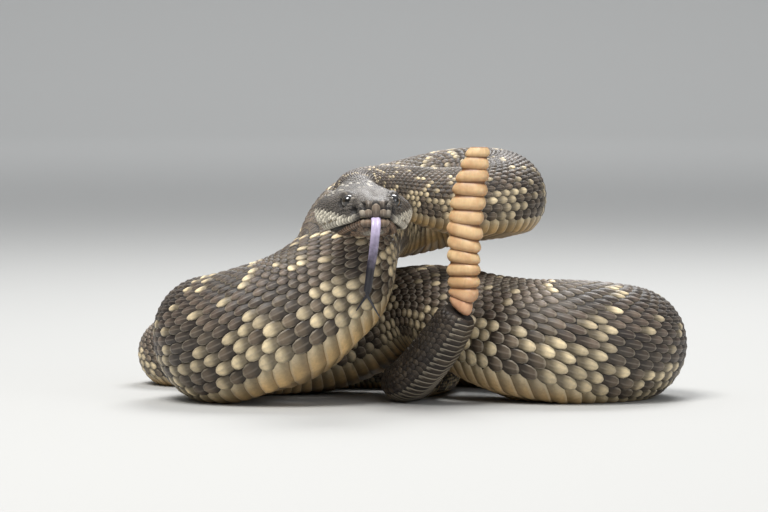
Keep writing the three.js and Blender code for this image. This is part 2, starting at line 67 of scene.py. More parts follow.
# Route of the body from the head joint to the rattle, one place a row, in millimetres:
# x, y, height of the belly over the floor, half width, half height, lean of the back in x and in y
ROUTE = [
    [-17.8, -8.4, 63.0, 7.6, 7.4, 0, 0.05],
    [-18.9, -1.5, 63.6, 7.6, 7.4, 0, 0.05],
    [-17.0, 6.4, 64.4, 8.0, 7.8, 0, 0],
    [-9.5, 13.0, 63.6, 8.6, 8.6, 0, 0],
    [1.5, 16.2, 60.8, 9.6, 9.8, 0, 0.05],
    [13.0, 17.6, 56.6, 11.0, 11.6, 0, 0.15],
    [25.5, 22.5, 55.2, 12.6, 13.2, 0, 0.3],
    [33.6, 36.0, 55.0, 14.0, 14.8, -0.3, 0.2],
    [28.0, 50.5, 54.0, 15.2, 16.2, -0.1, 0.3],
    [14.0, 57.0, 52.2, 15.8, 16.9, 0, 0.35],
    [-2.0, 56.0, 47.8, 16.2, 17.0, 0, 0.3],
    [-13.5, 49.0, 45.6, 16.6, 16.8, 0.1, 0.25],
    [-19.0, 37.8, 41.9, 16.9, 17.0, 0, 0.25],
    [-21.4, 26.0, 35.8, 17.2, 17.3, -0.1, 0.25],
    [-23.0, 15.0, 27.6, 18.2, 18.8, -0.2, 0.25],
    [-28.2, 7.5, 18.4, 19.2, 20.8, -0.1, 0.3],
    [-36.5, 3.5, 10.2, 19.8, 22.2, -0.1, 0.3],
    [-47.0, 1.6, 4.6, 20.0, 22.9, -0.1, 0.15],
    [-62.8, 7.8, 0.5, 20.0, 22.5, -0.3, -0.2],
    [-69.2, 24.5, 0, 19.4, 22.2, -0.4, -0.1],
    [-62.4, 40.6, 0, 19.2, 20.2, -0.2, 0.1],
    [-47.0, 47.5, 0, 19.6, 19.8, 0, 0.1],
    [-32.0, 49.5, 0.6, 20.0, 19.2, 0, 0.2],
    [-17.0, 50.0, 6.0, 20.6, 17.4, 0, 0.15],
    [-2.0, 48.0, 15.4, 21.2, 15.0, 0, 0.1],
    [13.0, 40.5, 14.0, 21.6, 16.2, 0.05, 0.15],
    [28.0, 25.5, 3.2, 21.4, 20.4, 0.1, 0.3],
    [42.3, 14.8, 0, 20.8, 21.7, 0.05, 0.3],
    [55.3, 11.9, 0, 20.2, 21.8, 0.05, -0.1],
    [67.2, 16.9, 0, 19.8, 21.2, 0.25, -0.3],
    [74.4, 27.3, 0, 19.4, 20.2, 0.4, -0.2],
    [75.4, 39.9, 0, 19.0, 19.4, 0.35, 0],
    [70.2, 51.5, 0, 18.6, 18.5, 0.1, 0.05],
    [60.0, 61.5, 0, 18.2, 18.1, 0, 0],
    [46.5, 70.5, 0, 17.7, 17.7, 0, 0],
    [31.5, 82.0, 0, 17.1, 17.2, 0, 0],
    [16.0, 96.5, 0, 16.3, 16.5, 0, 0],
    [-1.5, 106.5, 0, 15.6, 15.8, 0, 0],
    [-20.5, 111.0, 0, 14.8, 15.0, 0, 0],
    [-39.0, 113.0, 0, 14.0, 14.2, 0, 0],
    [-56.0, 113.2, 0, 13.3, 13.6, 0, 0],
    [-70.5, 112.2, 0, 12.9, 13.1, 0, 0],
    [-81.1, 107.4, 0, 12.5, 12.8, 0.05, 0],
    [-85.6, 97.0, 0, 12.2, 12.5, 0.1, 0],
    [-81.1, 86.6, 0, 12.0, 12.2, 0.05, 0],
    [-70.5, 81.8, 0, 11.8, 11.9, 0, 0],
    [-57.5, 80.2, 0, 11.4, 11.4, 0, 0],
    [-43.0, 79.6, 0, 11.0, 10.9, 0, 0],
    [-28.0, 79.4, 0, 10.6, 10.3, 0, 0],
    [-13.5, 79.6, 0, 10.2, 9.4, 0, 0],
    [-1.5, 77.8, 0, 9.8, 8.4, 0, 0],
    [7.0, 70.5, 0, 9.3, 7.3, 0, 0],
    [8.6, 59.0, 0, 8.8, 6.5, 0, 0],
    [5.8, 47.5, 0, 8.6, 6.3, 0, 0],
    [1.4, 36.0, 0, 8.8, 6.6, 0, 0],
    [-1.2, 24.5, 0, 9.2, 7.2, 0, 0],
    [-0.8, 13.2, 0.2, 9.3, 7.8, -0.3, 0.15],
    [2.4, 4.6, 3.6, 8.9, 8.0, -0.9, 0.4],
    [7.8, -1.4, 10.4, 8.4, 7.9, -1.5, 0.6],
    [12.6, -5.2, 18.2, 7.7, 7.4, -2.2, 0.9],
    [16.0, -7.0, 25.2, 6.8, 6.6, -3.6, 1.4],
]
VENT_ROW = 54
STEPS = 12
EVEN_PASSES = 50


def colour(code):
    """Linear red, green and blue of a six-digit web colour."""
    parts = [int(code[i:i + 2], 16) / 255 for i in (0, 2, 4)]
    return tuple(p / 12.92 if p <= 0.04045 else ((p + 0.055) / 1.055) ** 2.4 for p in parts)


def smooth(value, low, high):
    """0 below low, 1 above high and a smooth rise between; low may be the larger."""
    t = np.clip((value - low) / (high - low), 0, 1)
    return t * t * (3 - 2 * t)


# The body's route, drawn out and evened

def through(table, i, t):
    """A smooth curve through a table's rows, at share t of the way from row i to the next."""
    a, b = table[np.maximum(i - 1, 0)], table[i]
    c, d = table[i + 1], table[np.minimum(i + 2, len(table) - 1)]
    return b + 0.5 * t * (c - a + t * (2 * a - 5 * b + 4 * c - d + t * (3 * (b - c) + d - a)))


def draw_out(rows):
    """Smooth line through the rows in short steps."""
    rows = np.array(rows, float)
    shares = np.arange(STEPS) / STEPS
    line = [through(rows, i, t) for i in range(len(rows) - 1) for t in shares]
    line = np.array(line + [rows[-1]])
    for _ in range(EVEN_PASSES):
        line[1:-1] = (line[:-2] + 2 * line[1:-1] + line[2:]) / 4
    return line


def unit(v):
    """Vectors of length one."""
    return v / np.maximum(np.linalg.norm(v, axis=-1, keepdims=True), 1e-9)


def route_steps():
    """x, y, z of the axis, half width, half height and lean at each step."""
    rows = []
    for x, y, lift, wide, high, lean_x, lean_y in ROUTE:
        z = lift + FLAT * high - (PRESS if lift == 0 else 0)
        rows.append([x - MIDDLE[0], y - MIDDLE[1], z, wide, high, lean_x, lean_y])
    return draw_out(rows)


LINE = route_steps()
REACH = np.concatenate([[0], np.cumsum(np.linalg.norm(np.diff(LINE[:, :3], axis=0), axis=1))])
LENGTH = REACH[-1]
VENT = REACH[VENT_ROW * STEPS]


def heading():
    """Direction of the route at each step."""
    ahead = np.vstack([LINE[1:, :3], LINE[-1:, :3]])
    behind = np.vstack([LINE[:1, :3], LINE[:-1, :3]])
    return unit(ahead - behind)


HEADING = heading()


def along_route(column, s):
    """A column of the route's steps, or of its headings, at lengths s from the head."""
    return np.interp(s, REACH, column)


def places(s):
    """Axis point, directions across and up the back, half width and half height at lengths s."""
    values = np.stack([along_route(LINE[:, c], s) for c in range(7)], -1)
    along = unit(np.stack([along_route(HEADING[:, c], s) for c in range(3)], -1))
    lean = np.stack([values[..., 5], values[..., 6], np.ones(len(s))], -1)
    across = unit(np.cross(lean, along))
    back = np.cross(along, across)
    return values[..., :3], across, back, values[..., 3], values[..., 4]


# Length of a scale and of a scute, which grows with the body's half width, and the coat's depth as its share
PITCH_LEAST = 0.65
PITCH_GROWTH = 0.145
COAT_SHARE = 0.19


def pitch_at(s):
    """Length of a scale at lengths s along the body."""
    return PITCH_LEAST + PITCH_GROWTH * along_route(LINE[:, 3], s)


def coat_depth(s):
    """Depth of the scales over the skin."""
    return COAT_SHARE * pitch_at(s)


def stations():
    """Lengths at which the scutes begin, from the head joint to the rattle."""
    fine = np.linspace(0, LENGTH, 4000)
    count = np.concatenate([[0], np.cumsum(np.diff(fine) / pitch_at((fine[1:] + fine[:-1]) / 2))])
    whole = int(count[-1])
    return np.interp(np.arange(whole + 1) * count[-1] / whole, count, fine)


STATIONS = stations()


def station_of(s):
    """Fractional station number at lengths s."""
    return np.interp(s, STATIONS, np.arange(len(STATIONS)))


def length_of(station):
    """Length from the head at fractional station numbers."""
    return np.interp(station, np.arange(len(STATIONS)), STATIONS)


VENT_STATION = round(float(station_of(VENT)))


class Sheet:
    """A surface closed around: points and normals on a grid of rings, read smoothly between them."""

    def __init__(self, points):
        self.points = points
        self.rings, self.sides = points.shape[:2]
        down = np.gradient(points, axis=0)
        around = np.roll(points, -1, 1) - np.roll(points, 1, 1)
        normals = unit(np.cross(down, around))
        outward = points - points.mean(1, keepdims=True)
        if (normals * outward).sum() < 0:
            normals = -normals
        self.normals = normals

    def read(self, field, r, c):
        r = np.clip(r, 0, self.rings - 1.001)
        i, j = np.floor(r).astype(int), np.floor(c).astype(int)
        fr, fc = (r - i)[..., None], (c - j)[..., None]
        j0, j1 = j % self.sides, (j + 1) % self.sides
        near = field[i, j0] * (1 - fc) + field[i, j1] * fc
        far = field[i + 1, j0] * (1 - fc) + field[i + 1, j1] * fc
        return near * (1 - fr) + far * fr

    def at(self, r, c, lift):
        """Points lifted off the sheet along its normals."""
        return self.read(self.points, r, c) + unit(self.read(self.normals, r, c)) * lift[..., None]

    def spans(self, r, c):
        """Millimetres that one ring and one side cover at a place."""
        half = 0.5
        down = self.read(self.points, r + half, c) - self.read(self.points, np.maximum(r - half, 0), c)
        around = self.read(self.points, r, c + half) - self.read(self.points, r, c - half)
        return np.linalg.norm(down, axis=-1), np.linalg.norm(around, axis=-1)


BODY_SIDES = 128
RING_STEP = 1.0
BODY_RINGS = int(LENGTH / RING_STEP) + 1
RING_LENGTHS = np.linspace(0, LENGTH, BODY_RINGS)


# How far the skin draws in at the rattle, and over what length
END_DRAW = 1.2
END_LENGTH = 2.5

# Lowest height of the skin, under which the scutes fill the way to the floor
FLOOR_SKIN = 0.35


def body_sheet():
    """The skin's surface, drawn in by the coat's depth and rounded off at the rattle."""
    axis, across, back, wide, high = places(RING_LENGTHS)
    inset = coat_depth(RING_LENGTHS) + END_DRAW * smooth(RING_LENGTHS, LENGTH - END_LENGTH, LENGTH) ** 2
    angle = TURN * np.arange(BODY_SIDES) / BODY_SIDES
    out = np.sin(angle) * (wide - inset)[:, None]
    lift = np.maximum(np.cos(angle), -FLAT) * (high - inset)[:, None]
    points = axis[:, None] + across[:, None] * out[..., None] + back[:, None] * lift[..., None]
    points[..., 2] = np.maximum(points[..., 2], FLOOR_SKIN)
    return Sheet(points)


SKIN_SHEET = body_sheet()


def ring_of(s):
    """Ring number of a length on the body's sheet."""
    return np.asarray(s) / LENGTH * (BODY_RINGS - 1)


# Head, in its own frame: x from the neck joint to the snout, y to the animal's left, z up
HEAD_YAW = math.radians(-81)
HEAD_PITCH = math.radians(5)
HEAD_LENGTH = 41.3

# Distance from the joint, half width, height of the crown, height of the widest level, depth of the jaw
HEAD_FORM = np.array([
    [0.3, 7.6, 7.2, 0, 7.2],
    [4, 9.4, 6.3, -0.6, 8.4],
    [8, 13.0, 5.6, -1.6, 9.6],
    [12.5, 15.8, 5.3, -2.4, 10.4],
    [17, 15.6, 5.2, -2.7, 10.6],
    [21.5, 13.6, 5.2, -2.5, 10.3],
    [26, 11.4, 5.3, -2.0, 9.6],
    [30, 9.5, 5.2, -1.4, 8.8],
    [33.5, 7.8, 4.9, -1.1, 8.3],
    [35.5, 6.9, 4.7, -0.9, 8.0],
    [37.2, 6.2, 4.5, -0.7, 7.6],
    [38.8, 5.5, 4.3, -0.5, 7.1],
    [40.3, 4.7, 4.0, -0.2, 6.0],
    [41.1, 3.4, 3.2, 0, 4.6],
    [HEAD_LENGTH, 1.4, 1.8, 0.1, 2.2],
])

# The crown is round at the cheeks and square at the snout
CROWN_SQUARE = (1.8, 3.2)
JAW_SQUARE = 2.5
HEAD_SIDES = 256
HEAD_RINGS = 150
FINE_SIDES = 1440

EYE = {"x": 29.8, "y": 7.3, "z": 2.3, "radius": 2.3}
BROW = {"x": 28.4, "y": 8.5, "z": 5.0, "half": (4.8, 1.9, 1.2), "rise": 1.2}
PIT = {"x": 36.0, "y": 6.6, "z": 0.1, "half": (2.0, 1.9, 1.5), "depth": 2.2}
NOSTRIL = {"x": 40.1, "y": 4.0, "z": 2.9, "half": (1.1, 0.7, 1.6), "depth": 1.5}
MOUTH = {"corner": 15.0, "front": 40.6, "corner_height": -9.2, "front_height": -2.0}
MOUTH_BEND = 1.15
LOREAL = {"x": 33.6, "y": 7.4, "z": 2.6, "half": (2.6, 2.4, 1.9), "depth": 0.95}

# Depth of the head's scales, by which its skin is drawn in
HEAD_DEPTH = 0.22

# Round the eye's axis: where the socket is whole, where it ends and its depth, and the lid about it
SOCKET = {"whole": 1.5, "end": 2.15, "depth": 1.6}
LID = {"place": 2.5, "width": 0.4, "rise": 0.3}

# Folds along the mouth: height over its line, half width and rise
MOUTH_FOLDS = ((0.0, 0.36, -0.8), (1.1, 0.8, 0.3), (-1.3, 0.8, 0.1))

# Groove along the middle of the crown, over a lowest height
CROWN_GROOVE = {"half": 1.6, "depth": 0.3, "over": 3}


def rows_at(table, position):
    """Smooth rows of a table at fractional row numbers."""
    i = np.clip(np.floor(position).astype(int), 0, len(table) - 2)
    return through(table, i, (position - i)[:, None])


def head_rows(position):
    """Rows of the head's form at fractional row numbers; the distance runs straight between rows."""
    rows = rows_at(HEAD_FORM, position)
    rows[:, 0] = np.interp(position, np.arange(len(HEAD_FORM)), HEAD_FORM[:, 0])
    return rows


def even_rows(count):
    """Fractional row numbers that step evenly along the profile, from the last row to the first."""
    fine = np.linspace(0, len(HEAD_FORM) - 1, 600)
    rows = head_rows(fine)
    steps = np.hypot(np.diff(rows[:, 0]), 0.5 * np.diff(rows[:, 1]))
    run = np.concatenate([[0], np.cumsum(np.abs(steps))])
    return np.interp(np.linspace(run[-1], 0, count), run, fine)


def even_around(ring, sides):
    """A closed ring drawn again with even steps, from its first point."""
    closed = np.vstack([ring, ring[:1]])
    run = np.concatenate([[0], np.cumsum(np.linalg.norm(np.diff(closed, axis=0), axis=1))])
    at = np.linspace(0, run[-1], sides, endpoint=False)
    return np.stack([np.interp(at, run, closed[:, c]) for c in range(3)], -1)


def crown_square(x):
    """Squareness of the crown at a distance from the joint."""
    return CROWN_SQUARE[0] + (CROWN_SQUARE[1] - CROWN_SQUARE[0]) * smooth(x, 16, 26)


def head_ring(x, wide, crown, level, jaw):
    """Section of the head: square above, rounder below, widest at its own level."""
    angle = TURN * np.arange(FINE_SIDES) / FINE_SIDES
    up, side = np.cos(angle), np.sin(angle)
    power = np.where(up > 0, 2 / crown_square(x), 2 / JAW_SQUARE)
    reach = np.where(up > 0, crown - level, -jaw - level)
    z = level + reach * np.abs(up) ** power
    y = -wide * np.sign(side) * np.abs(side) ** power
    return np.stack([np.full(FINE_SIDES, x), y, z], -1)


def mouth_height(x):
    """Height of the mouth line at a distance from the joint."""
    t = np.clip((x - MOUTH["corner"]) / (MOUTH["front"] - MOUTH["corner"]), 0, 1)
    return MOUTH["corner_height"] + (MOUTH["front_height"] - MOUTH["corner_height"]) * t ** MOUTH_BEND


def blob(points, spot, power=2):
    """1 at a spot on either side of the head, falling to 0 beyond its half sizes."""
    x, y, z = points[..., 0], np.abs(points[..., 1]), points[..., 2]
    hx, hy, hz = spot["half"]
    far = ((x - spot["x"]) / hx) ** 2 + ((y - spot["y"]) / hy) ** 2 + ((z - spot["z"]) / hz) ** 2
    return np.exp(-(far ** (power / 2)))


def eye_ring(points):
    """Distance from the eye's own axis, in side view."""
    return np.hypot(points[..., 0] - EYE["x"], points[..., 2] - EYE["z"])


def on_eye_side(points):
    """1 on the sides of the head and 0 on its top."""
    return smooth(np.abs(points[..., 1]), 4.5, 6.0)


def mouth_gap(points):
    """Height over the mouth line."""
    return points[..., 2] - mouth_height(points[..., 0])


def mouth_reach(points):
    """1 along the mouth, fading out behind its corner."""
    return smooth(points[..., 0], MOUTH["corner"] - 1.5, MOUTH["corner"] + 3)


def hump(distance, place, width):
    """1 at a place and falling to 0 on both sides."""
    return np.exp(-((distance - place) / width) ** 2)


def head_lift(points):
    """How far the brows, eye sockets, pits, nostrils and the mouth stand off the bare head."""
    ring, side = eye_ring(points), on_eye_side(points)
    lift = BROW["rise"] * blob(points, BROW)
    lift = lift - SOCKET["depth"] * (1 - smooth(ring, SOCKET["whole"], SOCKET["end"])) * side
    lift = lift + LID["rise"] * side * hump(ring, LID["place"], LID["width"])
    for hollow, power in ((PIT, 4), (NOSTRIL, 3), (LOREAL, 2)):
        lift = lift - hollow["depth"] * blob(points, hollow, power)
    gap, reach = mouth_gap(points), mouth_reach(points)
    for place, width, fold in MOUTH_FOLDS:
        lift = lift + fold * reach * hump(gap, place, width)
    x, y, z = points[..., 0], points[..., 1], points[..., 2]
    groove = hump(y, 0, CROWN_GROOVE["half"]) * (z > CROWN_GROOVE["over"])
    return lift - CROWN_GROOVE["depth"] * groove * smooth(x, 20, 25) * smooth(x, 38, 34)


def head_matrix():
    """Turns the head's own frame to the animal's."""
    cy, sy = math.cos(HEAD_YAW), math.sin(HEAD_YAW)
    cp, sp = math.cos(HEAD_PITCH), math.sin(HEAD_PITCH)
    yaw = np.array([[cy, -sy, 0], [sy, cy, 0], [0, 0, 1]])
    pitch = np.array([[cp, 0, sp], [0, 1, 0], [-sp, 0, cp]])
    return yaw @ pitch


HEAD_TURN = head_matrix()
HEAD_JOINT = LINE[0, :3]


def head_to_world(points):
    """Points from the head's own frame to the animal's."""
    return points @ HEAD_TURN.T + HEAD_JOINT


def head_sheets():
    """The head's surface without and with its features, rings from the snout to the nape, in its own frame."""
    rows = head_rows(even_rows(HEAD_RINGS))
    rings = []
    for x, wide, crown, level, jaw in rows:
        inset = HEAD_DEPTH * min(1, wide / 6)
        rings.append(even_around(head_ring(x, wide - inset, crown - inset, level, jaw - inset), HEAD_SIDES))
    points = np.array(rings)
    bare = Sheet(points)
    return bare, Sheet(points + bare.normals * head_lift(points)[..., None])


HEAD_BARE, HEAD_SHEET = head_sheets()


# The front of the snout is sought from this distance to its end, by halving the way so many times
SNOUT_BACK = 33.0
HALVINGS = 22


def snout_depth(across, up):
    """Distance from the joint at which the front of the snout is met, for places across and up."""
    low, high = np.full(across.shape, SNOUT_BACK), np.full(across.shape, HEAD_LENGTH)
    for _ in range(HALVINGS):
        middle = (low + high) / 2
        row = head_rows(np.interp(middle.ravel(), HEAD_FORM[:, 0], np.arange(len(HEAD_FORM))))
        wide, crown, level, jaw = [
            c.reshape(across.shape) - HEAD_DEPTH * (n != 2) for n, c in enumerate(row[:, 1:].T)
        ]
        above = up > level
        power = np.where(above, crown_square(middle), JAW_SQUARE)
        reach = np.where(above, crown - level, jaw + level)
        inside = np.abs(across / wide) ** power + np.abs((up - level) / reach) ** power < 1
        low, high = np.where(inside, middle, low), np.where(inside, high, middle)
    return low


def snout_surface(up, right, lift):
    """Points over the front of the snout, by their places up and to the animal's right in millimetres."""
    step = 0.15
    across = -right
    x = snout_depth(across, up)
    dx_up = (snout_depth(across, up + step) - snout_depth(across, up - step)) / (2 * step)
    dx_across = (snout_depth(across + step, up) - snout_depth(across - step, up)) / (2 * step)
    normal = unit(np.stack([np.ones_like(x), -dx_across, -dx_up], -1))
    points = np.stack([x, across, up], -1)
    return head_to_world(points + normal * (head_lift(points) + lift)[..., None])


# Meshes

def new_object(name, points, loops, totals, slot, material):
    """A mesh from millimetre points, with its material, riding on the body; slot is not used."""
    mesh = bpy.data.meshes.new(name)
    starts = np.concatenate([[0], np.cumsum(totals)[:-1]])
    mesh.vertices.add(len(points))
    mesh.vertices.foreach_set("co", (np.asarray(points, float) * MM).ravel())
    mesh.loops.add(len(loops))
    mesh.loops.foreach_set("vertex_index", np.asarray(loops, np.int32))
    mesh.polygons.add(len(totals))
    mesh.polygons.foreach_set("loop_start", starts.astype(np.int32))
    mesh.polygons.foreach_set("loop_total", np.asarray(totals, np.int32))
    mesh.polygons.foreach_set("use_smooth", np.full(len(totals), True))
    mesh.update(calc_edges=True)
    mesh.validate()
    mesh.materials.append(material)
    made = bpy.data.objects.new(name, mesh)
    bpy.context.scene.collection.objects.link(made)
    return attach(made, BODY)


def paint(made, name, values):
    """Stores red, green, blue and alpha values at the vertices."""
    layer = made.data.color_attributes.new(name=name, type="FLOAT_COLOR", domain="POINT")
    layer.data.foreach_set("color", np.clip(values, 0, 1).astype(np.float32).ravel())


def unwrap(made, name, flat):
    """Stores a flat place for each vertex as a UV map."""
    loops = np.zeros(len(made.data.loops), np.int32)
    made.data.loops.foreach_get("vertex_index", loops)
    layer = made.data.uv_layers.new(name=name, do_init=False)
    layer.data.foreach_set("uv", np.asarray(flat, float)[loops].ravel())


def sheet_faces(rings, sides, start=0):
    """Quads between neighbouring rings of a closed tube."""
    r, c = np.meshgrid(np.arange(rings - 1), np.arange(sides), indexing="ij")
    near = start + r * sides + c
    next_side = start + r * sides + (c + 1) % sides
    return np.stack([near, near + sides, next_side + sides, next_side], -1).reshape(-1, 4)


def fan(tip, start, sides, way=1):
    """Triangles from a tip to the ring whose first vertex is start."""
    pairs = [(start + k, start + (k + 1) % sides) for k in range(sides)]
    return [[tip, *pair[::way]] for pair in pairs]


def loops_of(faces):
    """Vertices of all the faces in a row, and how many each face has."""
    return np.array([v for face in faces for v in face]), [len(face) for face in faces]


def capped(rings, start=0, ends=None):
    """Points and faces of a tube closed with a point at each end, by default the middle of its ring."""
    count, sides = rings.shape[:2]
    if ends is None:
        ends = np.vstack([rings[:1].mean(1), rings[-1:].mean(1)])
    faces = sheet_faces(count, sides, start).tolist()
    near, base = count * sides + start, (count - 1) * sides + start
    faces += fan(near, start, sides) + fan(near + 1, base, sides, -1)
    return np.vstack([rings.reshape(-1, 3), ends]), faces


# The skirt round a scale reaches down to this share of the coat's depth
SKIRT = -0.4


class Plate:
    """Shape of one scale on a grid: u from its sunk front edge to its free tip, v from side to side."""

    def __init__(self, lengthwise, crosswise, outline, height, bow=0.0):
        u, v = np.meshgrid(lengthwise, crosswise, indexing="ij")
        rows, columns = u.shape
        number = np.arange(rows * columns).reshape(rows, columns)
        rim = np.concatenate([number[0, :], number[1:, -1], number[-1, -2::-1], number[-2:0:-1, 0]])
        all_round = np.concatenate([number.ravel(), rim])
        self.u, self.v = u.ravel()[all_round], v.ravel()[all_round]
        self.side = (v * outline(u)).ravel()[all_round]
        self.down = 2 * self.u - 1 - bow * np.abs(self.v) ** 5 * smooth(self.u, 0.3, 1.0)
        self.lift = np.concatenate([height(u, v).ravel(), np.full(len(rim), SKIRT)])
        quads = np.stack([number[:-1, :-1], number[1:, :-1], number[1:, 1:], number[:-1, 1:]], -1)
        under = rows * columns + np.arange(len(rim))
        skirt = np.stack([rim, np.roll(rim, -1), np.roll(under, -1), under], -1)
        self.loops = np.concatenate([quads.ravel(), skirt.ravel(), under[::-1]])
        self.totals = np.array([4] * (quads.size // 4 + len(skirt)) + [len(under)])


def rounded(front, tip):
    """Outline of a scale: blunt at its sunk front, rounder or more pointed at its tip."""
    def outline(u):
        w = np.where(u < 0.5, 1 - np.abs(1 - 2 * u) ** front * 0.93, 1 - np.abs(2 * u - 1) ** tip * 0.95)
        return np.sqrt(np.clip(w, 0, 1))
    return outline


def lengthwise_height(u, front, rise, top, droop, tip):
    """Height along a scale: sunk in front, risen at its top and drooping from tip to its free edge."""
    return -front + rise * smooth(u, 0.0, top) - droop * smooth(u, tip, 1.0)


def scale_height(keel, dome):
    """Height over the skin, in shares of the coat's depth: sunk in front, proud behind, with a keel."""
    def height(u, v):
        body = lengthwise_height(u, 0.3, 1.2, 0.55, 0.22, 0.82)
        ridge = keel * np.exp(-(v / 0.17) ** 2) * smooth(u, 0.12, 0.35) * (1 - 0.5 * smooth(u, 0.85, 1.0))
        return body * (1 - dome * v ** 2) + ridge
    return height


LENGTHWISE = np.array([0, 0.2, 0.46, 0.74, 0.92, 1.0])
CROSSWISE = np.array([-1, -0.7, -0.28, 0, 0.28, 0.7, 1.0])
KEELED = Plate(LENGTHWISE, CROSSWISE, rounded(2.2, 2.8), scale_height(0.24, 0.34))
GRANULE = Plate(np.array([0, 0.25, 0.55, 0.85, 1.0]), np.array([-1, -0.5, 0, 0.5, 1]),
                rounded(2.2, 2.4), scale_height(0.2, 0.4))
SHIELD = Plate(np.linspace(0, 1, 10), np.linspace(-1, 1, 9), rounded(3.4, 3.4), scale_height(0, 0.25))


# How deep the front of a scute is sunk, and how far its ends bow forward, in half lengths
SCUTE_FRONT = 0.25
SCUTE_BOW = 0.55


def scute_height(u, v):
    """The ends of a scute sink under the lowest scales of the flank."""
    body = lengthwise_height(u, SCUTE_FRONT, 1.15, 0.6, 0.2, 0.86)
    end = smooth(np.abs(v), 0.84, 0.98)
    return body * (1 - end) - SCUTE_FRONT * end


SCUTE = Plate(np.array([0, 0.3, 0.62, 0.88, 1.0]), np.linspace(-1, 1, 27), np.ones_like, scute_height,
              SCUTE_BOW)

# Each scale takes a patch of this size in the map for baking, and a turned scale slews by this share
OFBAKE_PATCH = 0.003
SLEW = 0.6


def spread(numbers):
    """Numbers spread evenly from 0 to 1, with a small margin."""
    return (numbers - numbers.min()) / max(np.ptp(numbers), 1) * 0.96 + 0.02


def lay_plates(name, plate, surface, spots, marks, slot, material):
    """One joined mesh of plates. Each spot holds ring, side, half sizes in rings and sides, turn and depth."""
    ring, side, half_rings, half_sides, turn, depth = [np.asarray(c, float)[:, None] for c in spots]
    cos, sin = np.cos(turn), np.sin(turn)
    r = ring + half_rings * (plate.down * cos - plate.side * sin * SLEW)
    c = side + half_sides * (plate.side * cos + plate.down * sin)
    points = surface(r, c, plate.lift * depth).reshape(-1, 3)
    count, size = len(ring), len(plate.u)
    loops = (plate.loops + np.arange(count)[:, None] * size).ravel()
    made = new_object(name, points, loops, np.tile(plate.totals, count), slot, material)
    unwrap(made, "Scale", np.stack([np.tile(plate.u, count), np.tile(plate.v * 0.5 + 0.5, count)], -1))
    flat_u = spread(ring) + OFBAKE_PATCH * (plate.u - 0.5)
    flat_v = spread(side) + OFBAKE_PATCH * plate.v / 2
    unwrap(made, "OFBake", np.stack([flat_u.ravel(), flat_v.ravel()], -1))
    paint(made, "Marks", np.repeat(np.asarray(marks, float), size, axis=0))
    return made


# Markings, worked out on the lattice of scales: station along the body and row from the spine
BLOTCH_PERIOD = 6.2
DORSAL_ROWS = 15
TAIL_ROWS = 8
BELLY_ANGLE = math.radians(131)
TAIL_BELLY_ANGLE = math.radians(112)

# Distance between rows, and half sizes of the blotches of the back and of the flank, in scale lengths
ROW_STEP = 0.78
BLOTCH_HALF = (2.1, 5.6)
FLANK_HALF = (1.7, 1.5)
FLANK_ROW = 10.4


def lattice_random(count, seed):
    """Two even random shares for each scale."""
    return [np.random.default_rng(seed + n).random(count) for n in (0, 1)]


def patch_distance(along, across, half_along, half_across):
    """Distance in scale lengths outside a rounded patch, and below 0 inside it."""
    share = ((np.abs(along) / half_along) ** 2.2 + (np.abs(across) / half_across) ** 2.2) ** (1 / 2.2)
    return np.hypot(along, across) * (1 - 1 / np.maximum(share, 0.05))


def body_marks(station, row, seed):
    """Pale, dark, olive and random shares of each scale; row runs from 0 at the spine to 1 at the belly."""
    r = row * DORSAL_ROWS
    phase = station / BLOTCH_PERIOD
    back = (phase - np.round(phase)) * BLOTCH_PERIOD
    flank = (phase - np.floor(phase) - 0.5) * BLOTCH_PERIOD
    blotch = patch_distance(back, r * ROW_STEP, *BLOTCH_HALF)
    side = patch_distance(flank, (r - FLANK_ROW) * ROW_STEP, *FLANK_HALF)
    chance, other = lattice_random(len(station), seed)
    edge = (blotch > 0) & (blotch < 0.8)
    side_edge = (side > 0) & (side < 0.65) & (r < 13)
    pale = np.where(edge & (chance < 0.56), 0.7 + 0.3 * other, 0.05 * other)
    pale = np.where(side_edge & ~edge & (chance < 0.3), 0.5 + 0.4 * other, pale)
    stray = (r > 8) & (chance > 0.93)
    pale = np.where(stray, 0.6, pale)
    run = np.abs(back + 0.9 * (np.round(r) % 2))
    lateral = (r > 11.4) & (run < 1.5 + 0.8 * (other - 0.5)) & (chance > 0.12)
    pale = np.where(lateral, 0.65 + 0.35 * chance, pale)
    dark = np.where(blotch <= 0, 0.75 + 0.25 * smooth(blotch, -1.6, -0.3), 0.15 * chance)
    dark = np.maximum(dark, np.where(side <= 0, 0.6 + 0.3 * other, 0.0))
    olive = smooth(r, 8.5, 14.0) * (0.7 + 0.3 * chance)
    return np.stack([pale, dark, olive, other], -1)


def belly_marks(count, seed):
    """Cream, slight dark, stain and random shares of each scute."""
    chance, other = lattice_random(count, seed)
    return np.stack([np.ones_like(chance), 0.15 * chance, smooth(chance, 0.35, 0.9), other], -1)


def tail_marks(row, seed):
    """Hardly any cream, dark, browner down the side, and random."""
    chance, _ = lattice_random(len(row), seed)
    return np.stack([0.05 * chance, np.full_like(chance, 0.9), 0.2 * row, chance], -1)


def row_angle(share):
    """Angle from the spine of a row; the rows widen down the side."""
    a = np.abs(share)
    return np.sign(share) * (0.8 * a + 0.2 * a ** 5)


def row_share(angle):
    """Share of the rows from the spine at which an angle lies."""
    fine = np.linspace(0, 1, 200)
    return np.interp(angle, row_angle(fine) * BELLY_ANGLE, fine)


def row_widening(share):
    """How much wider than the mean a row is."""
    return 0.8 + share ** 4


def body_surface(r, c, lift):
    """Points over the body's skin, kept off the floor."""
    points = SKIN_SHEET.at(r, c, lift)
    points[..., 2] = np.maximum(points[..., 2], 0.02)
    return points


def side_number(angle):
    """Side number of an angle from the spine on the body's sheet."""
    return angle / TURN * BODY_SIDES


